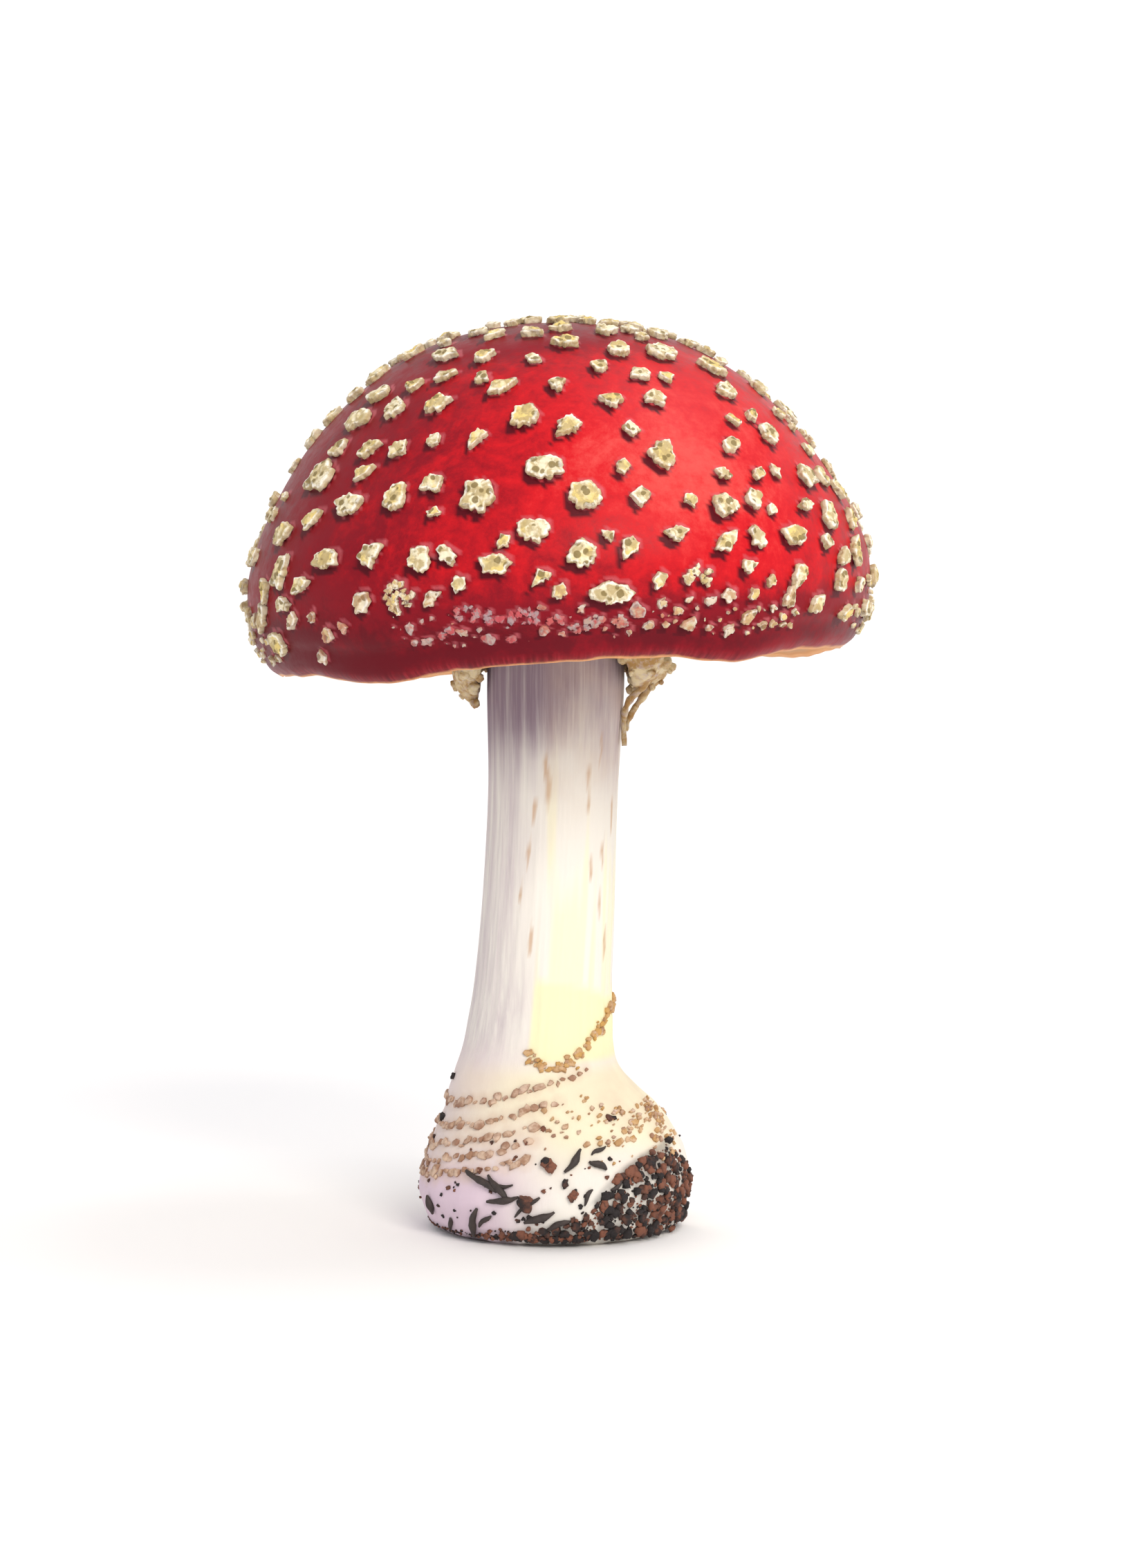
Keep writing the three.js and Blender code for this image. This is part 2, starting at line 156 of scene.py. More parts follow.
# Patches strewn where none is listed: (name, bearings from and to, shares down from and to, how many,
# width from and to, fineness of the mesh).
STREWN_PATCHES = [
    ("crown", (-180, 180), (0.02, 0.29), 64, (3.2, 6.2), 4),
    ("right", (66, 112), (0.3, 0.92), 44, (2.6, 5.6), 4),
    ("left", (-112, -69), (0.3, 0.92), 38, (2.6, 5.6), 4),
    ("back", (110, 250), (0.3, 0.9), 130, (2.8, 6), 3),
    ("front_margin", (-28, 46), (0.885, 0.945), 60, (1.3, 3.4), 3),
    ("margin", (60, 300), (0.88, 0.955), 110, (1.2, 2.6), 2),
    ("specks", (-30, 46), (0.885, 0.95), 30, (0.4, 0.9), 2),
]
# What is painted on the stem, as numbers kept at its vertices. The lilac on the left and the shade up
# under the cap are painted shade in the main, and part of the yellow is painted light.
STEM_MASKS = ("lilac", "painted_shade", "yellow", "soiled", "banded", "fibred", "bruised")
# Bruises on the stem, as (bearing, height, width, length).
BRUISES = [
    (-6, 80.5, 1.3, 5.5), (-3, 77, 1.2, 6), (32, 79.5, 1.1, 4.5), (34, 74, 0.9, 3.5),
    (-16, 73.5, 1.1, 4), (-19, 66, 0.9, 4), (38, 63, 1, 4), (52, 66, 1, 5), (50, 57, 0.9, 4),
    (-13, 51, 1, 5), (60, 50, 1.1, 6), (44, 84, 0.8, 5), (-24, 59, 0.7, 4), (66, 72, 1, 8),
]
# Bits of twig and grass too small to have a solid: (bearing, height) of both ends, and the width.
TWIGS = [
    (-40, 12.6, -24, 9.2, 1.3), (-30, 9.8, -17, 10.8, 0.9), (-28, 7.4, -14, 8.6, 1.2),
    (-38, 0.8, -33, 6.6, 1.3), (-33, 3.2, -27, 5.6, 0.9), (-16, 5.6, -6, 9, 0.8), (17, 16, 24, 18, 0.7),
    (24, 9.6, 31, 11.4, 0.8), (-3, 3.4, 7, 5.2, 0.9), (12, 7.6, 16, 10, 0.8), (-52, 1, -50, 4, 0.8),
]
# Above this height, in mm, a place counts as this far from every band, in metres.
BANDS_TOP, BANDS_CLEAR = 36, 1.0
# Crumbs of browned veil off the bands: how many, then the least, greatest and likeliest bearing and
# height.
SCALE_SPECKS = [(150, (-14, 86, 66), (13, 31, 25)), (110, (92, 205, 185), (15, 27, 21))]
# How many crumbs the ring's edge has, and how many grains of soil lie on the crust, along the foot
# and anywhere on the bulb.
RING_CRUMBS, CRUST_GRAINS, EDGE_GRAINS, STRAY_GRAINS = 110, 950, 330, 120
# Soil stuck on the bulb's back in patches, as (bearing, height, number of grains).
SOIL_PATCHES = [(104, 4, 50), (128, 7, 26), (163, 3.5, 60), (206, 5, 36), (236, 2.5, 30), (178, 10, 12)]
# Specks of soil on the bulb, as (bearing, height, width).
SOIL_SPECKS = [
    (-78, 21.5, 1.6), (-80, 17, 1.2), (-79, 29, 1.4), (32, 25.5, 1.8), (64, 17.5, 2.1),
    (70, 12.8, 1.6), (-38, 22, 0.9), (-5, 22.4, 1), (-30, 18.6, 1), (-50, 9.2, 1.1), (-27, 9.6, 0.9),
    (5, 11.2, 1.9), (-4, 10, 1), (9, 10, 1), (-15, 4.6, 1), (-10, 5.4, 1.2), (8, 5.2, 1.3),
    (5.5, 3.9, 1.2), (11, 7.4, 1.2), (-57, 5.4, 0.9), (-56, 3.4, 0.9), (-46, 5.2, 0.8),
    (-34, 13, 1.3), (-18, 15.8, 0.8), (-13, 19.3, 0.9),
]


# ------------------------------------------------------------------------------ small tools

def linear(hex_colour):
    """An sRGB hex colour as linear red, green and blue."""
    shares = [int(hex_colour[i : i + 2], 16) / 255 for i in (1, 3, 5)]
    return [s / 12.92 if s <= 0.04045 else ((s + 0.055) / 1.055) ** 2.4 for s in shares]


def ease(value, low, high):
    """0 below low, 1 above high, and a smooth rise between. low may be the larger one."""
    share = min(1.0, max(0.0, (value - low) / (high - low)))
    return share * share * (3 - 2 * share)


def hump(value, middle, half_width):
    """1 at the middle, falling away smoothly on both sides."""
    return math.exp(-(((value - middle) / half_width) ** 2))


def apart(bearing, other):
    """How far one bearing is from another, from -180 to 180."""
    return (bearing - other + 180) % 360 - 180


def bearing_of(point):
    """The bearing of a point."""
    return math.degrees(math.atan2(point.x, -point.y))


def around(bearing, radius, height):
    """The point at a bearing, a radius and a height."""
    angle = math.radians(bearing)
    return Vector((radius * math.sin(angle), -radius * math.cos(angle), height))


def beside_bulb(bearing, height, radius=24):
    """A point just off the bulb, to look for the nearest place on it. All but bearing are in mm."""
    return around(bearing, radius * MM, height * MM) + bulb_middle


def waver(x, y=0, z=0):
    """Smooth noise, from -1 to 1, at three numbers."""
    return noise.noise(Vector((x, y, z)))


def verts_in(geometry):
    """The vertices among the faces, edges and vertices that an operator has made."""
    return [part for part in geometry if isinstance(part, bmesh.types.BMVert)]


def smooth(points, steps, lead=None):
    """A Catmull-Rom line through points, with a number of steps from each to the next. lead is a
    point before the first, which sets how the line sets out."""
    ends = [Vector(p) for p in (lead or points[0], *points, points[-1])]
    line = []
    for a, b, c, d in zip(ends, ends[1:], ends[2:], ends[3:]):
        for i in range(steps):
            t = i / steps
            bend = (2 * a - 5 * b + 4 * c - d) * t * t + (3 * b - a - 3 * c + d) * t * t * t
            line.append((2 * b + (c - a) * t + bend) / 2)
    return [*line, ends[-1]]


def put_in_order(bm):
    """Sorts the faces by their corners. Operators leave them in no fixed order, on which the nearest
    place on a surface can depend."""
    bm.verts.index_update()
    count = len(bm.verts)
    corners = {face: [vert.index for vert in face.verts] for face in bm.faces}
    bm.faces.sort(key=lambda face: min(corners[face]) * count + max(corners[face]))


def spun(profile, steps, closed=False, downs=()):
    """A surface of revolution: (radius, height) points turned round the upright axis. downs are
    numbers to keep at the points, as "down"."""
    bm = bmesh.new()
    down = bm.verts.layers.float.new("down")
    verts = [bm.verts.new(around(0, radius, height)) for radius, height in profile]
    for vert, value in zip(verts, downs):
        vert[down] = value
    pairs = list(zip(verts, verts[1:]))
    if closed:
        pairs.append((verts[-1], verts[0]))
    edges = [bm.edges.new(pair) for pair in pairs]
    bmesh.ops.spin(
        bm, geom=[*verts, *edges], cent=(0, 0, 0), axis=(0, 0, 1), angle=2 * math.pi, steps=steps,
        use_merge=True,
    )
    bmesh.ops.remove_doubles(bm, verts=bm.verts, dist=MM / 10000)
    bmesh.ops.recalc_face_normals(bm, faces=bm.faces)
    bm.normal_update()
    put_in_order(bm)
    return bm


def piece(name, bm, materials, nodes=()):
    """Makes an object of a bmesh, which rides on the mushroom and stands for the nodes named."""
    mesh = bpy.data.meshes.new(name)
    bm.to_mesh(mesh)
    bm.free()
    mesh.shade_smooth()
    for material in materials:
        mesh.materials.append(material)
    made = bpy.data.objects.new(name, mesh)
    bpy.context.scene.collection.objects.link(made)
    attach(made, "root")
    if nodes:
        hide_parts(*nodes)
    return made


def surface_of(made):
    """The surface of a finished piece or a solid, to find places on it."""
    mesh = made.data
    return BVHTree.FromPolygons([v.co for v in mesh.vertices], [p.vertices for p in mesh.polygons])


def seat_at(surface, point):
    """A frame on a surface, at the place nearest to a point: X to the right, Y up the slope and Z
    out of the surface."""
    place, normal, _, _ = surface.find_nearest(point)
    right = Vector((0, 0, 1)).cross(normal).normalized()
    axes = Matrix((right, normal.cross(right), normal)).transposed()
    return Matrix.Translation(place) @ axes.to_4x4()


def block_outline(width, length, sides, draw):
    """An uneven polygon as (angle, distance) corners, width by length in metres."""
    corners = []
    for i in range(sides):
        angle = 2 * math.pi * (i + draw.uniform(-0.36, 0.36)) / sides
        reach = math.hypot(width * math.cos(angle), length * math.sin(angle)) / 2
        corners.append((angle, reach * draw.uniform(0.64, 1.18)))
    turn = draw.uniform(0, 2 * math.pi / sides)
    full = 2 * math.pi
    return sorted(((angle + turn + math.pi) % full - math.pi, reach) for angle, reach in corners)


def reach_of(corners, angle):
    """How far a polygon of (angle, distance) corners reaches at an angle."""
    following = [*corners[1:], (corners[0][0] + 2 * math.pi, corners[0][1])]
    if angle < corners[0][0]:
        angle += 2 * math.pi
    for (first, near), (last, far) in zip(corners, following):
        if first <= angle <= last:
            across = near * math.sin(angle - first) + far * math.sin(last - angle)
            return near * far * math.sin(last - first) / max(across, 1e-9)
    return corners[0][1]


def ball(fineness):
    """A ball to press lumps from, made once for each fineness. 2 is the coarsest."""
    name = f"ball_{fineness}"
    if name not in bpy.data.meshes:
        bm = bmesh.new()
        if fineness > 2:
            bmesh.ops.create_icosphere(bm, subdivisions=fineness, radius=1)
        else:
            bmesh.ops.create_uvsphere(bm, u_segments=8, v_segments=5, radius=1)
        for mask in ("edge", "worn", "tone"):
            bm.verts.layers.float.new(mask)
        put_in_order(bm)
        bm.to_mesh(bpy.data.meshes.new(name))
        bm.free()
    return bpy.data.meshes[name]


def lump(bm, seat, corners, thickness, fineness, seed, worn=0.0, grain=1.1 * MM, rough=0.22):
    """Presses a ball into a block with a polygon's outline and a crumbly surface, on a seat. Its
    lower side is torn in notches. worn is kept at its vertices, for its material to read. grain is
    the size of its crumbs, and rough how far they stand out, as a share of the grain."""
    first = len(bm.verts)
    bm.from_mesh(ball(fineness))
    bm.verts.ensure_lookup_table()
    edge, wear, tone = (bm.verts.layers.float[name] for name in ("edge", "worn", "tone"))
    drift = Vector((seed * 1.37 % 97, seed * 2.11 % 89, seed * 0.73 % 83))
    sunk = 0.2 * thickness
    for vert in bm.verts[first:]:
        spoke = vert.co.copy()
        angle = math.atan2(spoke.y, spoke.x)
        flat = min(1.0, math.hypot(spoke.x, spoke.y))
        round_trip = Vector((math.cos(angle), math.sin(angle), 0))
        ragged = 1 + 0.24 * noise.noise(round_trip * 1.3 + drift)
        torn = 0.05 + 0.3 * max(0.0, -round_trip.y) ** 0.5
        ragged += torn * noise.noise(round_trip * 3.4 + drift)
        out = reach_of(corners, angle) * flat**0.8 * ragged
        rise = math.copysign(abs(spoke.z) ** 0.5, spoke.z) * thickness / 2
        rise *= 1 + 0.45 * noise.noise(round_trip * out / (1.6 * grain) + drift)
        spot = round_trip * out + Vector((0, 0, rise))
        crumbs = 0.5 - noise.voronoi(spot / grain + drift)[0][0]
        crumbs += 0.5 * noise.noise(spot / (0.4 * grain) + drift)
        spot += spoke * crumbs * grain * rough
        spot.z = max(spot.z + thickness / 2 - sunk, -0.3 * thickness)
        vert[edge] = flat
        vert[wear] = worn
        vert[tone] = seed * 0.618 % 1
        vert.co = seat @ spot


def rod(bm, points, radii, sides):
    """A round rod along points, with a radius at each and closed ends."""
    start = bmesh.ops.create_circle(bm, segments=sides, radius=1, cap_ends=True)["verts"]
    loop = list(start)
    rings = [loop]
    for _ in points[1:]:
        near = {edge for vert in loop for edge in vert.link_edges}
        edges = [edge for edge in near if all(vert in loop for vert in edge.verts)]
        grown = bmesh.ops.extrude_edge_only(bm, edges=edges)["geom"]
        partner = {}
        for vert in verts_in(grown):
            for link in vert.link_edges:
                other = link.other_vert(vert)
                if other in loop:
                    partner[other] = vert
        loop = [partner[v] for v in loop]
        rings.append(loop)
    bm.faces.new(loop)
    before = points[1] - points[0]
    turn = before.to_track_quat("Z", "Y")
    for i, ring in enumerate(rings):
        heading = points[min(i + 1, len(points) - 1)] - points[max(i - 1, 0)]
        # each ring turns only as far as the line bends, so that the rod isn't twisted
        turn = before.rotation_difference(heading) @ turn
        before = heading
        for j, vert in enumerate(ring):
            angle = 2 * math.pi * j / sides
            spoke = Vector((math.cos(angle), math.sin(angle), 0)) * radii[i]
            vert.co = points[i] + turn @ spoke
    faces = list({face for ring in rings for vert in ring for face in vert.link_faces})
    bmesh.ops.recalc_face_normals(bm, faces=faces)
    # on a bent rod that may turn all of them inwards, which the first end's face tells
    end = next(face for face in start[0].link_faces if len(face.verts) == sides)
    end.normal_update()
    if end.normal.dot(points[1] - points[0]) > 0:
        bmesh.ops.reverse_faces(bm, faces=faces)


# ------------------------------------------------------------------------------ places

def cap_place(tilt):
    """The cap's own frame, with its origin in the middle of the rim, from its solid's box."""
    low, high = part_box("cap")
    lean = Matrix.Rotation(-tilt, 4, "Y")
    sides = [
        lean @ Vector((side * radius * MM, 0, height * MM))
        for radius, height in CAP_SKIN
        for side in (-1, 1)
    ]
    middle = (min(p.x for p in sides) + max(p.x for p in sides)) / 2
    crown = max(p.z for p in sides)
    centre = (low + high) / 2
    return Matrix.Translation((centre.x - middle, centre.y, high.z - crown)) @ lean


def skin_line():
    """The cap's skin from the crown to the rim, as finely spaced (radius, height) in metres."""
    return [p * MM for p in smooth(CAP_SKIN, 11, lead=(-13.5, 57.3))]


def shares_along(line):
    """How far along a line each of its points lies, from 0 to 1."""
    lengths = [0.0]
    for a, b in zip(line, line[1:]):
        lengths.append(lengths[-1] + (b - a).length)
    return [length / lengths[-1] for length in lengths]


def on_skin(bearing, down, line=tuple(skin_line())):
    """The point of the cap's skin at a bearing and a share of the way down, in the cap's frame."""
    shares = shares_along(line)
    i = max(1, next(i for i, share in enumerate(shares) if share >= down))
    part = (down - shares[i - 1]) / (shares[i] - shares[i - 1])
    radius, height = line[i - 1].lerp(line[i], part)
    return around(bearing, radius, height)


def wart_nodes():
    """The names of the solids that are patches of veil on the cap."""
    return sorted(name for name in frame["nodes"] if name.startswith("wart_"))


def patch_places(place):
    """Every patch on the cap: (group, node, centre, width, length, fineness), in metres. The strewn
    ones keep clear of those placed before them."""
    found = []
    for name in wart_nodes():
        low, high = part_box(name)
        size = (high - low).length / math.sqrt(3)
        found.append(("solid", name, (low + high) / 2, size, size, 5))
    for bearing, down, width, length in SMALL_PATCHES:
        centre = place @ on_skin(bearing, down)
        found.append(("front", None, centre, width * MM, length * MM, 4))
    for bearing, down, width, length, _ in BROKEN_PATCHES:
        centre = place @ on_skin(bearing, down)
        found.append(("broken", None, centre, width * MM, length * MM, 3))
    draw = random.Random(41)
    for name, bearings, downs, number, widths, fineness in STREWN_PATCHES:
        for _ in range(number):
            for _ in range(30):
                bearing = draw.uniform(*bearings)
                # as many on each stretch of skin, though the crown is a smaller circle
                down = math.sqrt(draw.uniform(downs[0] ** 2, downs[1] ** 2))
                width = draw.uniform(*widths) * MM
                centre = place @ on_skin(bearing, down)
                near = min((centre - other[2]).length - (other[3] + other[4]) / 4 for other in found)
                if near > width / 2 + 0.5 * MM:
                    length = width * draw.uniform(0.6, 1)
                    found.append((name, None, centre, width, length, fineness))
                    break
    return found


def stem_stations():
    """The stem's rings of corners, from the foot up, as (height, radius, how far right)."""
    rows = {}
    for vert in frame["nodes"]["stem"].data.vertices:
        rows.setdefault(round(vert.co.z, 5), []).append(vert.co)
    stations = []
    for height, corners in sorted(rows.items()):
        across = [co.x for co in corners]
        radius = max(co.y for co in corners)
        # a ring that leans with the cap is spread over several heights, and left out
        if max(across) - min(across) > 1.9 * radius > 10 * MM:
            stations.append((height, radius, (min(across) + max(across)) / 2))
    height, radius, middle = stations[-1]
    return [*stations, (height + 12 * MM, radius, middle)]


def trail(node, count):
    """Points along the middle of a rope-like solid that goes round the stem, by bearing."""
    corners = [v.co - bulb_middle for v in frame["nodes"][node].data.vertices]
    corners.sort(key=bearing_of)
    chunk = len(corners) / count
    parts = [corners[round(i * chunk) : round((i + 1) * chunk)] for i in range(count)]
    return [sum(part, Vector()) / len(part) + bulb_middle for part in parts]


# ------------------------------------------------------------------------------ materials

# The sockets of a Mix node that mixes colours.
FACTOR, FIRST, SECOND, MIXED = 0, 6, 7, 2


def node(tree, kind, inputs, output=0, **settings):
    """Adds a node and gives one of its outputs. settings are its own, and each of its inputs gets a
    value, a colour or another node's output."""
    made = tree.nodes.new("ShaderNode" + kind)
    for key, value in settings.items():
        setattr(made, key, value)
    for key, value in inputs.items():
        if isinstance(value, bpy.types.NodeSocket):
            tree.links.new(value, made.inputs[key])
        else:
            made.inputs[key].default_value = (*value, 1.0) if isinstance(value, Color) else value
    return made.outputs[output] if made.outputs else None


def new_material(name):
    """An empty node material, its tree and the object's own coordinates."""
    material = bpy.data.materials.new(name)
    material.use_nodes = True
    tree = material.node_tree
    tree.nodes.clear()
    return material, tree, node(tree, "TexCoord", {}, "Object")


def finish_material(material, colour, coats, bump, shader):
    """Ends a material: a colour with coats over it, each a (share, colour) pair; the bump's height,
    its strength and its depth in millimetres; and the shader's other inputs."""
    tree = material.node_tree
    for share, over in coats:
        colour = node(
            tree, "Mix", {FACTOR: share, FIRST: colour, SECOND: over}, MIXED, data_type="RGBA"
        )
    inputs = {"Base Color": colour, **shader}
    if bump:
        height, strength, depth = bump
        inputs["Normal"] = node(
            tree, "Bump", {"Height": height, "Strength": strength, "Distance": depth * MM}
        )
    node(tree, "OutputMaterial", {"Surface": node(tree, "BsdfPrincipled", inputs)})
    return material


def cap_cuticle(colours):
    """Living cuticle of a fly agaric, grown taut and damp. It gives an uneven, watery red under a soft
    gloss, streaked at the margin and orange at the thin rim. Light and shade are painted into it too: a
    painted highlight right of the front, painted shade on the left, at the crown and in the band above
    the rim, a painted shadow at each wart's lower left and a pale painted highlight at its upper right."""
    material, tree, place = new_material("Fly agaric cuticle, grown, damp")
    painted_light, painted_shadow, painted_halo, down = (
        node(tree, "Attribute", {}, "Fac", attribute_name=name)
        for name in ("painted_light", "painted_shadow", "painted_halo", "down")
    )
    clouds = node(
        tree, "TexNoise",
        {"Vector": place, "Scale": 1 / (13 * MM), "Detail": 5.0, "Roughness": 0.68, "Distortion": 0.8},
    )
    brush = node(
        tree, "TexNoise", {"Vector": place, "Scale": 1 / (2 * MM), "Detail": 5.0, "Roughness": 0.75}
    )
    # the painted light and shade mask raises or lowers the noise that picks the reds below
    uneven = node(tree, "Math", {0: clouds, 1: 1.3, 2: painted_light}, operation="MULTIPLY_ADD")
    grainy = node(tree, "Math", {0: brush, 1: 1.1, 2: uneven}, operation="MULTIPLY_ADD")
    wavering = node(tree, "Math", {0: brush, 1: 0.012, 2: down}, operation="MULTIPLY_ADD")
    # light lays on the scarlet; glow, a painted highlight, the pale red; depth the dark red, from
    # mottling and from painted shade
    light, glow, depth, margin, thin = (
        node(
            tree, "MapRange", {"Value": value, "From Min": low, "From Max": high, "To Max": most},
            interpolation_type="SMOOTHSTEP",
        )
        for value, low, high, most in (
            (grainy, 1.0, 1.95, 1.0), (grainy, 1.75, 2.5, 0.8), (grainy, 0.95, 0.35, 0.75),
            (down, 0.965, 0.985, 1.0), (wavering, 0.994, 1.006, 1.0),
        )
    )
    # dark adds each wart's painted shadow to the painted shade and the mottling
    dark = node(tree, "Math", {0: depth, 1: painted_shadow}, operation="MAXIMUM")
    # halo is a painted highlight, pale at each wart's upper right
    halo = node(tree, "Math", {0: painted_halo, 1: brush}, operation="MULTIPLY")
    # streaks run up from the margin, some 0.8 mm apart
    corner = node(tree, "SeparateXYZ", {"Vector": place}).node.outputs
    angle = node(tree, "Math", {0: corner["Y"], 1: corner["X"]}, operation="ARCTAN2")
    turned = node(tree, "Math", {0: angle, 1: 70.0}, operation="MULTIPLY")
    streaks = node(tree, "TexNoise", {"W": turned, "Scale": 1.0, "Detail": 2.0}, noise_dimensions="1D")
    streaky = node(
        tree, "MapRange", {"Value": streaks, "From Min": 0.4, "From Max": 0.7, "To Max": 0.7}
    )
    broken = node(tree, "Math", {0: brush, 1: margin}, operation="MULTIPLY")
    streak = node(tree, "Math", {0: broken, 1: streaky}, operation="MULTIPLY")
    gloss = node(
        tree, "MapRange",
        {"Value": brush, "From Min": 0.3, "From Max": 0.7, "To Min": 0.34, "To Max": 0.52},
    )
    return finish_material(
        material, colours.crimson,
        [
            (light, colours.scarlet), (glow, colours.painted_highlight), (dark, colours.wine_and_shadow),
            (halo, colours.painted_halo), (streak, colours.margin), (thin, colours.rim),
        ],
        (brush, 0.3, 0.15), {"Roughness": gloss, "Specular IOR Level": 0.14},
    )


def cap_flesh(colours):
    """Soft white trama of the cap, grown. Matt, with a yellow tinge where it meets the skin."""
    material, tree, place = new_material("Mushroom trama, grown, white")
    down = node(tree, "Attribute", {}, "Fac", attribute_name="down")
    fibres = node(tree, "TexNoise", {"Vector": place, "Scale": 1 / (1.5 * MM), "Detail": 4.0})
    inner = node(tree, "MapRange", {"Value": down, "From Min": 1.0, "From Max": 1.04})
    return finish_material(
        material, colours.rim, [(inner, colours.flesh)], (fibres, 0.3, 0.1), {"Roughness": 0.75}
    )


def gill_tissue(colours):
    """Thin, crowded gill tissue, grown. White blades with cream blotches laid by noise."""
    material, tree, place = new_material("Gill tissue, grown, white")
    blotches = node(tree, "TexNoise", {"Vector": place, "Scale": 1 / (4 * MM), "Detail": 3.0})
    return finish_material(
        material, colours.flesh, [(blotches, colours.gill)], None,
        {"Roughness": 0.7, "Subsurface Weight": 0.1, "Subsurface Scale": 0.5 * MM},
    )


def veil_crumb(colours):
    """Universal veil that has dried to crumbly warts. Cream with tan clouds and olive-brown pits,
    whitish round the top and tan on the torn sides; the worn ones by the rim are pinkish grey."""
    material, tree, place = new_material("Universal veil, dried, crumbly")
    edge, worn, tone = (
        node(tree, "Attribute", {}, "Fac", attribute_name=name) for name in ("edge", "worn", "tone")
    )
    patches = node(
        tree, "TexNoise", {"Vector": place, "Scale": 1 / (2.6 * MM), "Detail": 3.0, "Roughness": 0.55}
    )
    clouds = node(
        tree, "TexNoise",
        {"Vector": place, "Scale": 1 / (1.7 * MM), "Detail": 3.0, "Roughness": 0.6, "Distortion": 0.6},
    )
    grains = node(tree, "TexNoise", {"Vector": place, "Scale": 1 / (0.4 * MM), "Detail": 3.0})
    # most of the cells hold a pit, some 1.2 mm across
    cells = node(
        tree, "TexVoronoi", {"Vector": place, "Scale": 1 / (1.35 * MM)}, feature="F1"
    ).node.outputs
    chosen = node(tree, "SeparateColor", {"Color": cells["Color"]})
    spread = node(tree, "MapRange", {"Value": chosen, "From Min": 0.2, "From Max": 0.6, "To Max": 0.52})
    inside = node(tree, "Math", {0: spread, 1: cells["Distance"]}, operation="SUBTRACT")
    yellower = node(tree, "Math", {0: tone, 1: 0.35, 2: patches}, operation="MULTIPLY_ADD")
    yellow, cloudy, pit, whitish, side = (
        node(
            tree, "MapRange", {"Value": value, "From Min": low, "From Max": high, "To Max": most},
            interpolation_type="SMOOTHSTEP",
        )
        for value, low, high, most in (
            (yellower, 0.6, 0.85, 1.0), (clouds, 0.42, 0.58, 0.85), (inside, 0.0, 0.12, 0.9),
            (edge, 0.66, 0.82, 0.8), (edge, 0.9, 0.98, 0.6),
        )
    )
    bare = node(tree, "MapRange", {"Value": clouds, "From Min": 0.6, "From Max": 0.42, "To Min": 0.15})
    rimmed = node(tree, "Math", {0: whitish, 1: bare}, operation="MULTIPLY")
    rubbed = node(
        tree, "Mix", {FACTOR: cloudy, FIRST: colours.wart_worn, SECOND: colours.margin}, MIXED,
        data_type="RGBA",
    )
    relief = node(tree, "Math", {0: pit, 1: -0.5, 2: grains}, operation="MULTIPLY_ADD")
    return finish_material(
        material, colours.wart,
        [
            (yellow, colours.wart_yellow), (cloudy, colours.wart_tan), (pit, colours.wart_olive),
            (rimmed, colours.wart_edge), (side, colours.wart_tan), (worn, rubbed),
        ],
        (relief, 0.6, 0.18), {"Roughness": 0.8},
    )


def stem_tissue(colours):
    """Fibrous cortex of the stem and its bulb, grown. White to cream, drawn in long silky fibres, pale
    yellow low down and stained where soil lay. Lilac-grey painted shade lies on the left, away from the
    key lamp, and up under the cap, where a darker painted shade comes over it; low on the bulb's left
    the lilac is partly the bulb's own tinge, and cream streaks on the right are partly painted light."""
    material, tree, place = new_material("Mushroom stem cortex, grown, fibrous")
    lilac, painted_shade, yellow, soiled, banded, fibred, bruised = (
        node(tree, "Attribute", {}, "Fac", attribute_name=name) for name in STEM_MASKS
    )
    # fibres 0.6 mm wide and some 20 mm long, in wider streaks
    stretched = node(tree, "Mapping", {"Vector": place, "Scale": (1, 1, 0.03)})
    fibres = node(
        tree, "TexNoise",
        {"Vector": stretched, "Scale": 1 / (0.6 * MM), "Detail": 3.0, "Roughness": 0.6},
    )
    streaks = node(
        tree, "TexNoise",
        {"Vector": stretched, "Scale": 1 / (1.6 * MM), "Detail": 4.0, "Roughness": 0.7},
    )
    clouds = node(tree, "TexNoise", {"Vector": place, "Scale": 1 / (5 * MM), "Detail": 4.0})
    streaky = node(tree, "Math", {0: streaks, 1: 2.6, 2: -0.75}, operation="MULTIPLY_ADD")
    patchy = node(tree, "MapRange", {"Value": fibred, "To Min": 1.0, "To Max": streaky})
    blotchy = node(
        tree, "MapRange", {"Value": clouds, "From Min": 0.3, "From Max": 0.6},
        interpolation_type="SMOOTHSTEP",
    )
    # the lilac mask lays painted shade on the left and under the cap
    purpled, tanned, stained = (
        node(tree, "Math", {0: mask, 1: share}, operation="MULTIPLY", use_clamp=True)
        for mask, share in ((lilac, patchy), (banded, clouds), (soiled, blotchy))
    )
    # the painted shade under the cap, broken into streaks
    streaked_painted_shade = node(
        tree, "Math", {0: streaky, 1: painted_shade, 2: painted_shade}, operation="MULTIPLY_ADD", use_clamp=True
    )
    purple = node(
        tree, "Mix", {FACTOR: fibred, FIRST: colours.bulb_lilac, SECOND: colours.stem_lilac}, MIXED,
        data_type="RGBA",
    )
    return finish_material(
        material, colours.stem,
        [
            (yellow, colours.stem_yellow), (purpled, purple), (streaked_painted_shade, colours.stem_painted_shade),
            (bruised, colours.bruise), (tanned, colours.scale_tan), (stained, colours.soil),
        ],
        (fibres, 0.35, 0.12), {"Roughness": 0.72},
    )


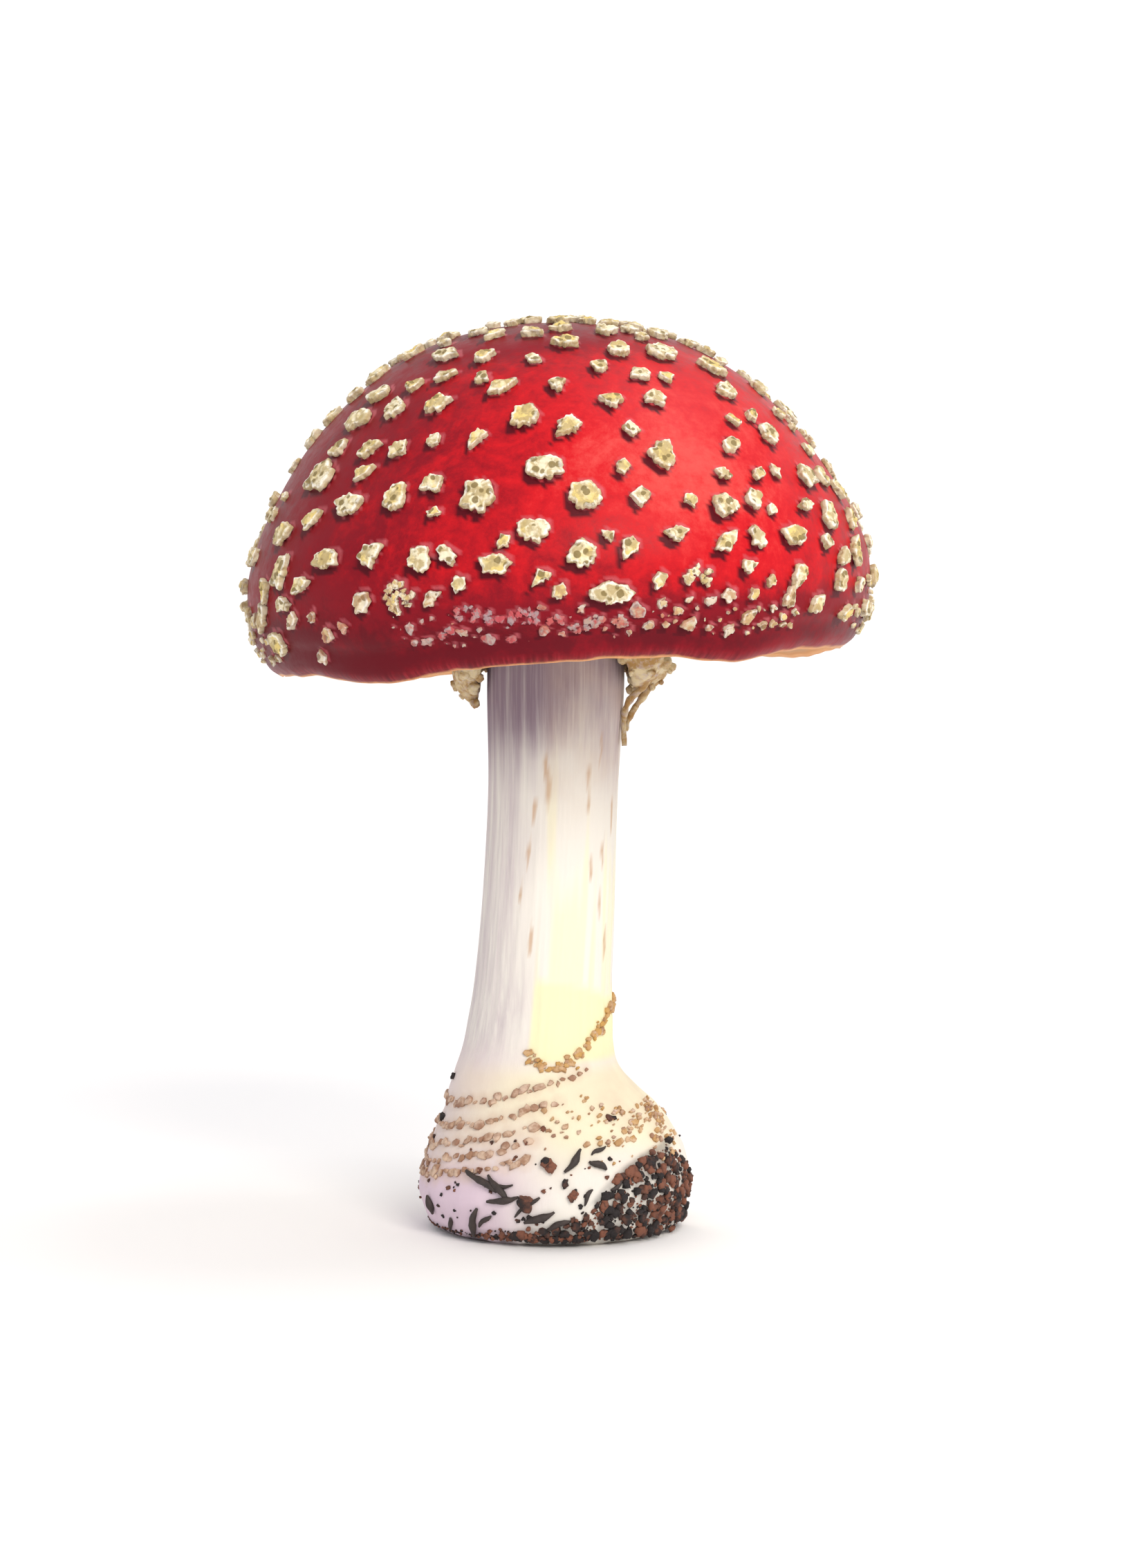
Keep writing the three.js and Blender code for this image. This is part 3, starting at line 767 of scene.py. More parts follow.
def ring_membrane(colours):
    """The ring, a membrane torn from the cap as it opened, grown and collapsed. Cream, ochre on its
    ragged edges, with lilac-grey painted shade in fine flecks laid by noise."""
    material, tree, place = new_material("Partial veil, grown, torn")
    folds = node(
        tree, "TexNoise",
        {"Vector": place, "Scale": 1 / (4 * MM), "Detail": 4.0, "Roughness": 0.65, "Distortion": 0.5},
    )
    fluff = node(tree, "TexNoise", {"Vector": place, "Scale": 1 / (0.8 * MM), "Detail": 4.0})
    ochre = node(
        tree, "MapRange", {"Value": folds, "From Min": 0.42, "From Max": 0.62},
        interpolation_type="SMOOTHSTEP",
    )
    # grey lays lilac-grey painted shade in fine flecks
    grey = node(tree, "MapRange", {"Value": fluff, "From Min": 0.5, "From Max": 0.72, "To Max": 0.6})
    return finish_material(
        material, colours.ring, [(ochre, colours.ring_ochre), (grey, colours.stem_lilac)],
        (fluff, 0.5, 0.2), {"Roughness": 0.82},
    )


def veil_scale(colours):
    """Veil that has browned on the bulb, dried into scales. Tan with darker spots, and golden where
    it is worn."""
    material, tree, place = new_material("Universal veil, dried, browned")
    worn = node(tree, "Attribute", {}, "Fac", attribute_name="worn")
    blotches = node(
        tree, "TexNoise", {"Vector": place, "Scale": 1 / (2.2 * MM), "Detail": 3.0, "Roughness": 0.6}
    )
    brown = node(
        tree, "MapRange", {"Value": blotches, "From Min": 0.35, "From Max": 0.62},
        interpolation_type="SMOOTHSTEP",
    )
    grains = node(tree, "TexNoise", {"Vector": place, "Scale": 1 / (0.4 * MM), "Detail": 3.0})
    return finish_material(
        material, colours.scale_tan, [(brown, colours.scale_brown), (worn, colours.scale_gold)],
        (grains, 0.4, 0.1), {"Roughness": 0.8},
    )


def forest_soil(colours):
    """Damp humus, crumbled. Near-black grains that hardly shine, and reddish brown where worn."""
    material, tree, place = new_material("Forest humus, crumbled, damp")
    worn = node(tree, "Attribute", {}, "Fac", attribute_name="worn")
    clumps = node(tree, "TexNoise", {"Vector": place, "Scale": 1 / (2.6 * MM), "Detail": 3.0})
    fine = node(tree, "TexNoise", {"Vector": place, "Scale": 1 / (0.7 * MM), "Detail": 4.0})
    mixed = node(tree, "Math", {0: clumps, 1: 2.0, 2: worn}, operation="MULTIPLY_ADD")
    red = node(
        tree, "MapRange", {"Value": mixed, "From Min": 1.1, "From Max": 1.8},
        interpolation_type="SMOOTHSTEP",
    )
    return finish_material(
        material, colours.soil, [(red, colours.soil_red)], (fine, 0.6, 0.15), {"Roughness": 0.85}
    )


def dead_needle(colours):
    """Fallen needles and grass, weathered. Dull and almost black, with lighter streaks."""
    material, tree, place = new_material("Conifer needle, weathered")
    streaks = node(tree, "TexNoise", {"Vector": place, "Scale": 1 / (0.8 * MM), "Detail": 3.0})
    return finish_material(
        material, colours.needle, [(streaks, colours.needle_pale)], None, {"Roughness": 0.65}
    )


def matt_paper(colours):
    """White paper, pressed. A faint tooth keeps the ground from looking like light."""
    material, tree, place = new_material("White paper, pressed, matt")
    tooth = node(tree, "TexNoise", {"Vector": place, "Scale": 1 / (1.2 * MM), "Detail": 2.0})
    return finish_material(material, colours.ground, [], (tooth, 0.08, 0.05), {"Roughness": 0.95})


# ------------------------------------------------------------------------------ sizes and colours

def length_property(name, description, millimetres):
    """A length that a user may change."""
    return bpy.props.FloatProperty(
        name=name, description=description, default=millimetres * MM, unit="LENGTH", precision=5
    )


def colour_property(name, description, hex_colour):
    """A colour that a user may change."""
    return bpy.props.FloatVectorProperty(
        name=name, description=description, default=linear(hex_colour), subtype="COLOR", min=0, max=1
    )


class MushroomSizes(bpy.types.PropertyGroup):
    """The sizes that shape the mushroom's surfaces"""

    cap_tilt: bpy.props.FloatProperty(
        name="Cap tilt", description="How much higher the right side of the cap is",
        default=math.radians(3), subtype="ANGLE",
    )
    crease_depth: length_property("Crease", "Depth of the furrow above the rim at the front", 1.0)
    wart_height: length_property("Wart height", "How far a large wart stands off the skin", 1.5)
    gill_thickness: length_property("Gill thickness", "Thickness of one gill", 0.4)
    gill_count: bpy.props.IntProperty(
        name="Gills", description="How many gills reach the stem, with as many short ones between",
        default=140, min=20,
    )
    fibre_depth: length_property("Fibres", "Depth of the grooves between the stem's fibres", 0.14)
    scale_size: length_property("Scale size", "Width of one scale in the bulb's bands", 2.2)
    grain_size: length_property("Soil grain", "Width of a usual grain of soil", 1.2)


class MushroomColours(bpy.types.PropertyGroup):
    """The colours of the mushroom, its soil and the ground"""

    crimson: colour_property("Crimson", "The deeper red of the cap", "#840a1b")
    scarlet: colour_property("Scarlet", "The brighter red of the cap", "#cf141e")
    # A painted highlight: the pale red of the broad highlight right of the front, not a colour of the
    # skin.
    painted_highlight: colour_property("Coral", "The red where the skin is stretched thinnest", "#e0534c")
    # A painted highlight: the pale halo at each wart's upper right, not skin pulled taut.
    painted_halo: colour_property("Tight", "The skin pulled tight at a wart's upper side", "#cf6a72")
    margin: colour_property("Margin", "The pale streaks above the rim", "#c03540")
    # Dark mottling of the skin, and the colour of its painted shade and of each wart's painted shadow.
    wine_and_shadow: colour_property("Wine", "The skin beside and under a wart", "#560615")
    rim: colour_property("Rim", "The thin edge of the cap", "#e2a673")
    flesh: colour_property("Flesh", "The flesh and gills", "#f6f0e2")
    # A cream tone laid in random blotches over the gills.
    gill: colour_property("Gill", "The shaded part of a gill", "#ece0c6")
    wart: colour_property("Wart", "The body of a wart", "#ede2c2")
    wart_yellow: colour_property("Wart yellow", "The yellow patches of a wart", "#e3ca7c")
    wart_tan: colour_property("Wart tan", "The tan clouds and sides of a wart", "#b8a26f")
    wart_olive: colour_property("Wart olive", "The pits of a wart", "#837041")
    wart_edge: colour_property("Wart edge", "The torn edge of a wart", "#fbf7ec")
    wart_worn: colour_property("Worn wart", "The small warts by the rim", "#a68a8c")
    ring: colour_property("Ring", "The body of the ring", "#d8c6a0")
    ring_ochre: colour_property("Ring ochre", "The edges of the ring", "#a67f4a")
    stem: colour_property("Stem", "The bare stem", "#ebe6dc")
    stem_yellow: colour_property("Stem yellow", "The yellow part of the stem and bulb", "#f4edbf")
    # Painted shade: the lilac-grey on the stem's left and up under the cap, and the ring's painted
    # shade.
    stem_lilac: colour_property("Stem lilac", "The lilac-grey side of the stem", "#c0b1b7")
    # Partly the bulb's own lilac tinge and partly painted shade, on its lower left.
    bulb_lilac: colour_property("Bulb lilac", "The lilac side of the bulb", "#d8bfd0")
    # Painted shade on the stem up under the cap.
    stem_painted_shade: colour_property("Stem dusk", "The stem up under the cap", "#877280")
    bruise: colour_property("Bruise", "The bruised fibres of the stem", "#c39a72")
    scale_tan: colour_property("Scale tan", "The pale part of the bulb's scales", "#d6bca6")
    scale_brown: colour_property("Scale brown", "The dark part of the bulb's scales", "#9c7560")
    scale_gold: colour_property("Scale gold", "The crust under the yellow patch", "#c79a52")
    soil: colour_property("Soil", "The darkest soil", "#262020")
    soil_red: colour_property("Soil red", "The reddest soil", "#7d4e3b")
    needle: colour_property("Needle", "The dark of a needle", "#1f1b1a")
    needle_pale: colour_property("Needle pale", "The light of a needle", "#4a3d38")
    ground: colour_property("Ground", "The floor and backdrop", "#fbfaf8")


class MushroomStage(bpy.types.PropertyGroup):
    """Where the camera stands and how bright the lamps are"""

    distance: length_property("Camera distance", "From the camera to the stem", 518.6)
    shift: length_property("Camera to the right", "How far right of the stem the camera stands", 2.6)
    sight: length_property("Sight line drop", "How far below the rim the camera aims", 21.15)
    lens: bpy.props.FloatProperty(
        name="Lens", description="Focal length for a 36 mm frame", default=68.1, unit="CAMERA"
    )
    key: bpy.props.FloatProperty(
        name="Key lamp", description="Power of the lamp at the front right", default=24.0, unit="POWER"
    )
    top: bpy.props.FloatProperty(
        name="Top lamp", description="Power of the lamp above on the right", default=7.0, unit="POWER"
    )
    room: bpy.props.FloatProperty(
        name="Room light", description="Strength of the light from all round", default=0.8
    )


# ------------------------------------------------------------------------------ operators

class MUSHROOM_OT_cap(bpy.types.Operator):
    """Grow the cap: the red skin, its lobed and furrowed rim, and the flesh under it"""

    bl_idname = "mushroom.cap"
    bl_label = "Cap"

    def execute(self, context):
        sizes = context.scene.mushroom_sizes
        place = cap_place(sizes.cap_tilt)
        skin = skin_line()
        flesh = [p * MM for p in smooth(CAP_FLESH, 5)]
        downs = [*shares_along(skin), *(1 + share for share in shares_along(flesh))]
        bm = spun([*skin, *flesh], CAP_STEPS, downs=downs)
        self.shape(bm, sizes)
        bmesh.ops.transform(bm, matrix=place, verts=bm.verts)
        self.paint(bm, place)
        down = bm.verts.layers.float["down"]
        for face in bm.faces:
            face.material_index = int(min(vert[down] for vert in face.verts) >= 1)
        colours = context.scene.mushroom_colours
        piece("cap_skin", bm, [cap_cuticle(colours), cap_flesh(colours)], ["cap"])
        return {"FINISHED"}

    def shape(self, bm, sizes):
        """Lobes, a furrow above the rim at the front, and an uneven surface."""
        down = bm.verts.layers.float["down"]
        for vert in bm.verts:
            bearing, height = bearing_of(vert.co), vert.co.z / MM
            drop = sum(
                depth * hump(apart(bearing, middle), 0, half_width)
                for middle, depth, half_width in RIM_LOBES
            )
            if vert[down] < 1:
                uneven = 0.45 * noise.noise(vert.co / (27 * MM))
                uneven += 0.05 * noise.noise(vert.co / (4 * MM))
                front = 0.25 + 0.75 * hump(apart(bearing, -8), 0, 52)
                furrow = hump(height, 4.3, 1.5) - 0.4 * hump(height, 1.4, 1.1)
                vert.co += vert.normal * (uneven * MM - front * furrow * sizes.crease_depth)
            frill = 0.35 * waver(bearing / 5, 3.7, 0) * ease(height, 5, 0)
            vert.co.z -= (drop * ease(height, 12, 1) + frill) * MM

    def paint(self, bm, place):
        """Paints light and shade into the skin's colour: a painted highlight right of the front, and
        painted shade on the left, at the crown, in the band above the rim and in its furrow.
        """
        down = bm.verts.layers.float["down"]
        painted_light = bm.verts.layers.float.new("painted_light")
        back = place.inverted()
        for vert in bm.verts:
            bearing = bearing_of(back @ vert.co)
            # a painted highlight: broad at the front, strongest right of it and half way down
            glow = 0.75 * hump(apart(bearing, 24), 0, 30) * hump(vert[down], 0.62, 0.2)
            glow += 0.2 * hump(apart(bearing, 8), 0, 55) + 0.25 * hump(apart(bearing, 55), 0, 25)
            # painted shade at the crown, in the band above the rim and in its furrow
            painted_shade = 0.7 * ease(vert[down], 0.4, 0.2) + 0.7 * ease(vert[down], 0.84, 0.92)
            painted_shade += 0.3 * hump(vert[down], 0.955, 0.014)
            # and painted shade on the left side
            vert[painted_light] = glow - painted_shade - 0.4 * ease(apart(bearing, 0), -15, -65)


class MUSHROOM_OT_gills(bpy.types.Operator):
    """Grow the crowded gills, full ones with short ones between them"""

    bl_idname = "mushroom.gills"
    bl_label = "Gills"

    def execute(self, context):
        sizes = context.scene.mushroom_sizes
        bm = bmesh.new()
        self.blades(bm, GILL_EDGE, sizes.gill_count, sizes.gill_thickness, 0)
        self.blades(bm, SHORT_GILL_EDGE, sizes.gill_count, 0.8 * sizes.gill_thickness, 0.5)
        for vert in bm.verts:
            radius = math.hypot(vert.co.x, vert.co.y)
            sway = waver(radius / (9 * MM), bearing_of(vert.co) / 8, 0)
            turn = sway * 0.5 * MM * ease(radius, 14 * MM, 20 * MM) / radius
            vert.co = Matrix.Rotation(turn, 3, "Z") @ vert.co
        bmesh.ops.transform(bm, matrix=cap_place(sizes.cap_tilt), verts=bm.verts)
        piece("gill_blades", bm, [gill_tissue(context.scene.mushroom_colours)], ["gills"])
        return {"FINISHED"}

    def blades(self, bm, edge_line, count, thickness, offset):
        """A blade from a free edge up into the flesh, and its copies round the stem."""
        edge = [p * MM for p in smooth(edge_line, 3)]
        roof = [p * MM for p in smooth(CAP_FLESH[:-1], 8)]
        turn = 2 * math.pi / count
        low = [bm.verts.new(around(0, radius, height)) for radius, height in edge]
        lines = [bm.edges.new(pair) for pair in zip(low, low[1:])]
        for vert in verts_in(bmesh.ops.extrude_edge_only(bm, edges=lines)["geom"]):
            above = min(roof, key=lambda p: abs(p.x + vert.co.y))
            vert.co.z = max(vert.co.z, above.y + 0.3 * MM)
        sheet = {face for vert in low for face in vert.link_faces}
        far = verts_in(bmesh.ops.extrude_face_region(bm, geom=list(sheet))["geom"])
        bmesh.ops.translate(bm, verts=far, vec=(thickness, 0, 0))
        blade = {v for face in sheet for v in face.verts} | set(far)
        faces = {face for vert in blade for face in vert.link_faces}
        bmesh.ops.recalc_face_normals(bm, faces=list(faces))
        shifted = Matrix.Rotation(offset * turn, 3, "Z")
        bmesh.ops.rotate(bm, verts=list(blade), cent=(0, 0, 0), matrix=shifted)
        edges = {line for face in faces for line in face.edges}
        bmesh.ops.spin(
            bm, geom=[*blade, *edges, *faces], cent=(0, 0, 0), axis=(0, 0, 1),
            angle=turn * (count - 1), steps=count - 1, use_duplicate=True,
        )


class MUSHROOM_OT_warts(bpy.types.Operator):
    """Lay the crumbly warts on the cap: the large ones, those between them and the worn ones"""

    bl_idname = "mushroom.warts"
    bl_label = "Warts"

    def execute(self, context):
        sizes = context.scene.mushroom_sizes
        material = veil_crumb(context.scene.mushroom_colours)
        surface = surface_of(bpy.data.objects["cap_skin"])
        place = cap_place(sizes.cap_tilt)
        draw = random.Random(7)
        groups = {}
        for seed, (group, name, centre, width, length, fineness) in enumerate(patch_places(place)):
            seat = seat_at(surface, centre)
            if group == "solid":
                bm = bmesh.new()
                corners = self.foot_of(name, seat)
                lump(bm, seat, corners, sizes.wart_height, fineness, seed, grain=1.2 * MM, rough=0.3)
                piece(name.replace("wart", "veil_wart"), bm, [material], [name])
                continue
            if group not in groups:
                groups[group] = bmesh.new()
            bm = groups[group]
            if group == "broken":
                worn = self.wear(place, centre)
                self.crumble(bm, surface, seat, width, length, draw, seed, worn)
                continue
            corners = block_outline(width, length, draw.randint(4, 7), draw)
            worn = self.wear(place, centre) * draw.uniform(0.6, 1)
            height = sizes.wart_height * min(1.0, 0.35 + 0.14 * width / MM) * (1 - 0.65 * worn)
            rough = 0.3 if group == "front" else 0.45
            lump(bm, seat, corners, height, fineness, seed, worn, 1.4 * MM, rough)
        for group, bm in groups.items():
            piece(f"veil_warts_{group}", bm, [material])
        self.shade_skin(place)
        return {"FINISHED"}

    def shade_skin(self, place):
        """Paints light and shade round the warts into the skin: a painted shadow where a wart stands
        between the skin and the key lamp, to its lower left, and a pale painted highlight where a wart
        stands close on the side away from the lamp, to its upper right."""
        warts = [made for made in bpy.data.objects if made.name.startswith("veil_wart")]
        corners = []
        faces = []
        for wart in warts:
            faces += [[i + len(corners) for i in face.vertices] for face in wart.data.polygons]
            corners += [vert.co for vert in wart.data.vertices]
        blocks = BVHTree.FromPolygons(corners, faces)
        skin = bpy.data.objects["cap_skin"].data
        down = skin.attributes["down"].data
        painted_shadow = skin.attributes.new("painted_shadow", "FLOAT", "POINT").data
        painted_halo = skin.attributes.new("painted_halo", "FLOAT", "POINT").data
        back = place.inverted()
        shade, halo = 2.4 * MM, 0.9 * MM
        for i, vert in enumerate(skin.vertices):
            if down[i].value > 1:
                continue
            normal = vert.normal
            up = (Vector((0, 0, 1)) - normal * normal.z).normalized()
            right = around(bearing_of(back @ vert.co) + 90, 1, 0)
            # painted shadow: the skin is darkened where a wart blocks the way towards the key lamp
            to_light = (0.9 * up + 0.6 * right + 0.55 * normal).normalized()
            start = vert.co + normal * 0.1 * MM
            painted_shadow[i].value = self.hit(blocks, start, to_light, shade)
            # painted highlight: pale where a wart stands close on the side away from the lamp
            from_light = (0.6 * normal - up - 0.7 * right).normalized()
            painted_halo[i].value = self.hit(blocks, start, from_light, halo)

    def hit(self, blocks, start, heading, reach):
        """1 if a wart stands within reach of a place, in one direction."""
        return float(blocks.ray_cast(start, heading, reach)[0] is not None)

    def foot_of(self, name, seat):
        """The corners half way up a wart's solid, seen along the seat's Z."""
        back = seat.inverted()
        corners = [back @ v.co for v in frame["nodes"][name].data.vertices]
        middle = sum((c.z for c in corners), 0.0) / len(corners)
        centre = sum(corners, Vector()) / len(corners)
        foot = {}
        for corner in corners:
            off = corner - centre
            if corner.z < middle and off.xy.length > MM / 2:
                angle = math.atan2(off.y, off.x)
                foot[round(angle, 1)] = (angle, off.xy.length)
        draw = random.Random(name)
        return [(angle, reach * draw.uniform(0.68, 1.0)) for angle, reach in sorted(foot.values())]

    def wear(self, place, centre):
        """How worn a wart is: those low down at the front are rubbed to a greyish white."""
        height = (place.inverted() @ centre).z
        front = hump(apart(bearing_of(centre), -10), 0, 40)
        return ease(height, 13 * MM, 8 * MM) * front

    def crumble(self, bm, surface, seat, width, length, draw, seed, worn):
        """A wart in crumbs, set in uneven rings round its middle."""
        count = max(6, round(width * length / (MM * MM) * 1.3))
        for i in range(count):
            angle = draw.uniform(0, 2 * math.pi)
            out = math.sqrt(draw.uniform(0.1, 1)) / 2
            spot = seat @ Vector((width * out * math.cos(angle), length * out * math.sin(angle), 0))
            size = draw.uniform(0.8, 1.9) * MM
            corners = block_outline(size, size * 0.8, 5, draw)
            thickness = (0.9 - 0.5 * worn) * MM
            lump(bm, seat_at(surface, spot), corners, thickness, 3, seed * 31 + i, worn)


class MUSHROOM_OT_stem(bpy.types.Operator):
    """Grow the stem and its bulb as one: fibres above, and a lumpy, stained bulb with a flat foot"""

    bl_idname = "mushroom.stem"
    bl_label = "Stem"

    def execute(self, context):
        sizes = context.scene.mushroom_sizes
        stations = stem_stations()
        line = smooth(stations, 10)
        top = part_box("stem")[1].z - 2 * MM
        rows = [(0, 0), (0.5 * line[0].y, 0), *((p.y, p.x) for p in line), (line[-1].y, top), (0, top)]
        bm = spun(rows, STEM_STEPS)
        trails = [trail(f"veil_band_{i}", 24) for i in range(1, 6)]
        self.shape_and_paint(bm, line, trails, surface_of(frame["nodes"]["soil_crust"]), sizes)
        piece("stem_and_bulb", bm, [stem_tissue(context.scene.mushroom_colours)], ["stem"])
        return {"FINISHED"}

    def shape_and_paint(self, bm, line, trails, crust, sizes):
        """Moves each ring to the stem's middle line, cuts the fibres and marks the colours."""
        masks = {name: bm.verts.layers.float.new(name) for name in STEM_MASKS}
        for vert in bm.verts:
            height = vert.co.z / MM
            radius = max(math.hypot(vert.co.x, vert.co.y), 1e-6)
            bearing = bearing_of(vert.co)
            middle = next((p.z for p in line if p.x >= vert.co.z), line[-1].z)
            fibred = ease(height, 26, 36)
            ripple = waver(bearing / 3.2, height / 26, 0)
            ripple += 0.6 * waver(bearing / 1.3, height / 14, 5)
            lumps = 0.35 * noise.noise(vert.co / (8 * MM)) + 0.12 * noise.noise(vert.co / (2.4 * MM))
            out = fibred * ripple * sizes.fibre_depth + (1 - fibred) * lumps * MM * ease(height, 0, 3)
            if radius > 5 * MM:
                vert.co.xy *= 1 + out / radius
            side = math.sin(math.radians(bearing))
            vert.co.x += middle
            vert[masks["fibred"]] = fibred
            self.paint(vert, masks, height, bearing, side, fibred)
            near = BANDS_CLEAR
            if height < BANDS_TOP:
                near = min((vert.co - spot).length for spots in trails for spot in spots)
            shoulder = hump(apart(bearing, 66), 0, 40) * hump(height, 25, 6)
            blotched = (0.35 * ease(height, 8, 14) + 0.5 * shoulder) * (1 - fibred)
            blotched += 0.5 * ease(height, 66, 82) * ease(side, -0.3, 0.1)
            vert[masks["banded"]] = max(blotched, 0.9 * ease(near, 3 * MM, 1.2 * MM))
            _, _, _, distance = crust.find_nearest(vert.co)
            edge = 0.85 * ease(height, 2.6, 0.4)
            vert[masks["soiled"]] = max(0.5 * ease(distance, 1.6 * MM, 0.5 * MM), edge)
            if height < 0.1:
                vert[masks["banded"]] = 1.4
                vert[masks["soiled"]] = 0.55

    def paint(self, vert, masks, height, bearing, side, fibred):
        """How lilac, how deep in painted shade, how yellow and how bruised the stem is at a vertex. The
        lilac is painted shade in the main, and part of the yellow is painted light.
        """
        wander = noise.noise(vert.co / (9 * MM))
        # lilac on the left, away from the key lamp, is painted shade; low on the bulb it is partly the
        # bulb's own lilac tinge
        left = ease(side + 0.3 * wander, 0.1, -0.7)
        low_left = ease(side + 0.2 * wander, 0.1, -0.6) * ease(height, 19, 9)
        bulb_lilac = max(0.85 * low_left, 0.4 * left)
        # painted shade up under the cap
        under_cap_shade = ease(height + 5 * wander, 74, 88)
        side_lilac = left * (0.7 + 0.3 * ease(height, 60, 84))
        vert[masks["lilac"]] = fibred * max(side_lilac, under_cap_shade) + (1 - fibred) * bulb_lilac
        # painted shade up under the cap, deeper on the left
        vert[masks["painted_shade"]] = 0.62 * ease(height + 4 * wander - 5 * side, 80, 96)
        on_right = ease(bearing, -9, -5) * ease(bearing, 118, 96)
        patch = on_right * ease(height + 4 * wander, 45, 42) * ease(height, 29, 31)
        cream = ease(waver(bearing / 9, height / 30, 1), -0.15, 0.25)
        # glow is partly painted light: cream streaks on the right side, which the key lamp lights,
        # fading up under the cap
        glow = 0.6 * on_right * cream * ease(height, 96, 60) * fibred
        vert[masks["bruised"]] = max(self.bruise(bearing, height, mark) for mark in BRUISES)
        waist = 0.62 * ease(height + 2 * wander, 13, 19) * ease(height, 31, 27)
        waist *= ease(apart(bearing, 20), -112, -62) * ease(apart(bearing, 20), 120, 60)
        vert[masks["yellow"]] = max(patch, glow, waist)

    def bruise(self, bearing, height, mark):
        """How bruised a place is by one mark: a lens that stands along the fibres."""
        middle, middle_height, width, length = mark
        sway = 0.5 * waver(height / 2.5, middle, 0)
        across = (math.radians(apart(bearing, middle)) * 12 + sway) / (0.42 * width)
        along = (height - middle_height) / (length / 2)
        ragged = 0.5 * waver(bearing / 2, height / 1.5, 7)
        return 0.7 * ease(math.hypot(across, along) + ragged, 1.2, 0.6)


class MUSHROOM_OT_ring(bpy.types.Operator):
    """Hang the torn ring: a crumpled skirt with a crumbly edge, and the strand on its right"""

    bl_idname = "mushroom.ring"
    bl_label = "Ring"

    def execute(self, context):
        low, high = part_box("ring")
        section = [p * MM for p in smooth([*RING, RING[0]], 6)][:-1]
        bm = spun(section, RING_STEPS, closed=True)
        for vert in bm.verts:
            self.shape(vert)
        bmesh.ops.translate(bm, verts=bm.verts, vec=(0, 0, high.z))
        draw = random.Random(19)
        surface = BVHTree.FromBMesh(bm)
        edge = [v.co.copy() for v in bm.verts if v.co.z < high.z - 5.5 * MM]
        crumbs = bmesh.new()
        for i in range(RING_CRUMBS):
            seat = seat_at(surface, draw.choice(edge))
            size = draw.uniform(0.9, 2.6) * MM
            corners = block_outline(size, 0.8 * size, 6, draw)
            lump(crumbs, seat, corners, 0.6 * size, 3, 900 + i, grain=0.8 * MM, rough=0.25)
        material = ring_membrane(context.scene.mushroom_colours)
        piece("ring_skirt", bm, [material], ["ring"])
        piece("ring_crumbs", crumbs, [material])
        self.strand(high.z, material)
        return {"FINISHED"}

    def shape(self, vert):
        """Torn short at the front, hanging lowest on both sides, and crumpled."""
        bearing = bearing_of(vert.co)
        angle = math.radians(bearing)
        worn = RING_WORN_FRONT if math.cos(angle) > 0 else RING_WORN_BACK
        worn *= 1 - math.sin(angle) ** 8
        ragged = 0.06 * math.sin(7 * angle) + 0.04 * math.sin(11 * angle + 1)
        ragged += 0.1 * waver(bearing / 4, 0, 2)
        flare = 0.85 + 0.15 * math.sin(angle)
        fall = -vert.co.z / MM
        radius = math.hypot(vert.co.x, vert.co.y)
        hang = ease(fall, 0, 9)
        pleat = 0.5 * math.sin(RING_PLEATS * angle + 2 * math.sin(3 * angle))
        pleat += 0.8 * noise.noise(vert.co / (3.5 * MM))
        inner = RING[0][0] * MM
        reach = inner + (radius - inner) * flare + 0.55 * pleat * hang * MM
        vert.co.xy *= reach / radius
        vert.co.z *= 1 - worn + ragged
        vert.co.z += 0.35 * MM * noise.noise(vert.co / (2.5 * MM)) * hang

    def strand(self, top, material):
        """Two threads torn from the skirt's right side, drawn down to the stem."""
        bm = bmesh.new()
        for bearing, points in RING_THREADS:
            route = [
                around(bearing, radius * MM, top + fall * MM) for radius, fall in smooth(points, 5)
            ]
            count = len(route) - 1
            radii = [
                (0.7 - 0.25 * i / count) * MM * (1 + 0.5 * waver(i / 2.5, bearing, 0))
                for i in range(count + 1)
            ]
            rod(bm, route, radii, 10)
        piece("ring_strand", bm, [material])


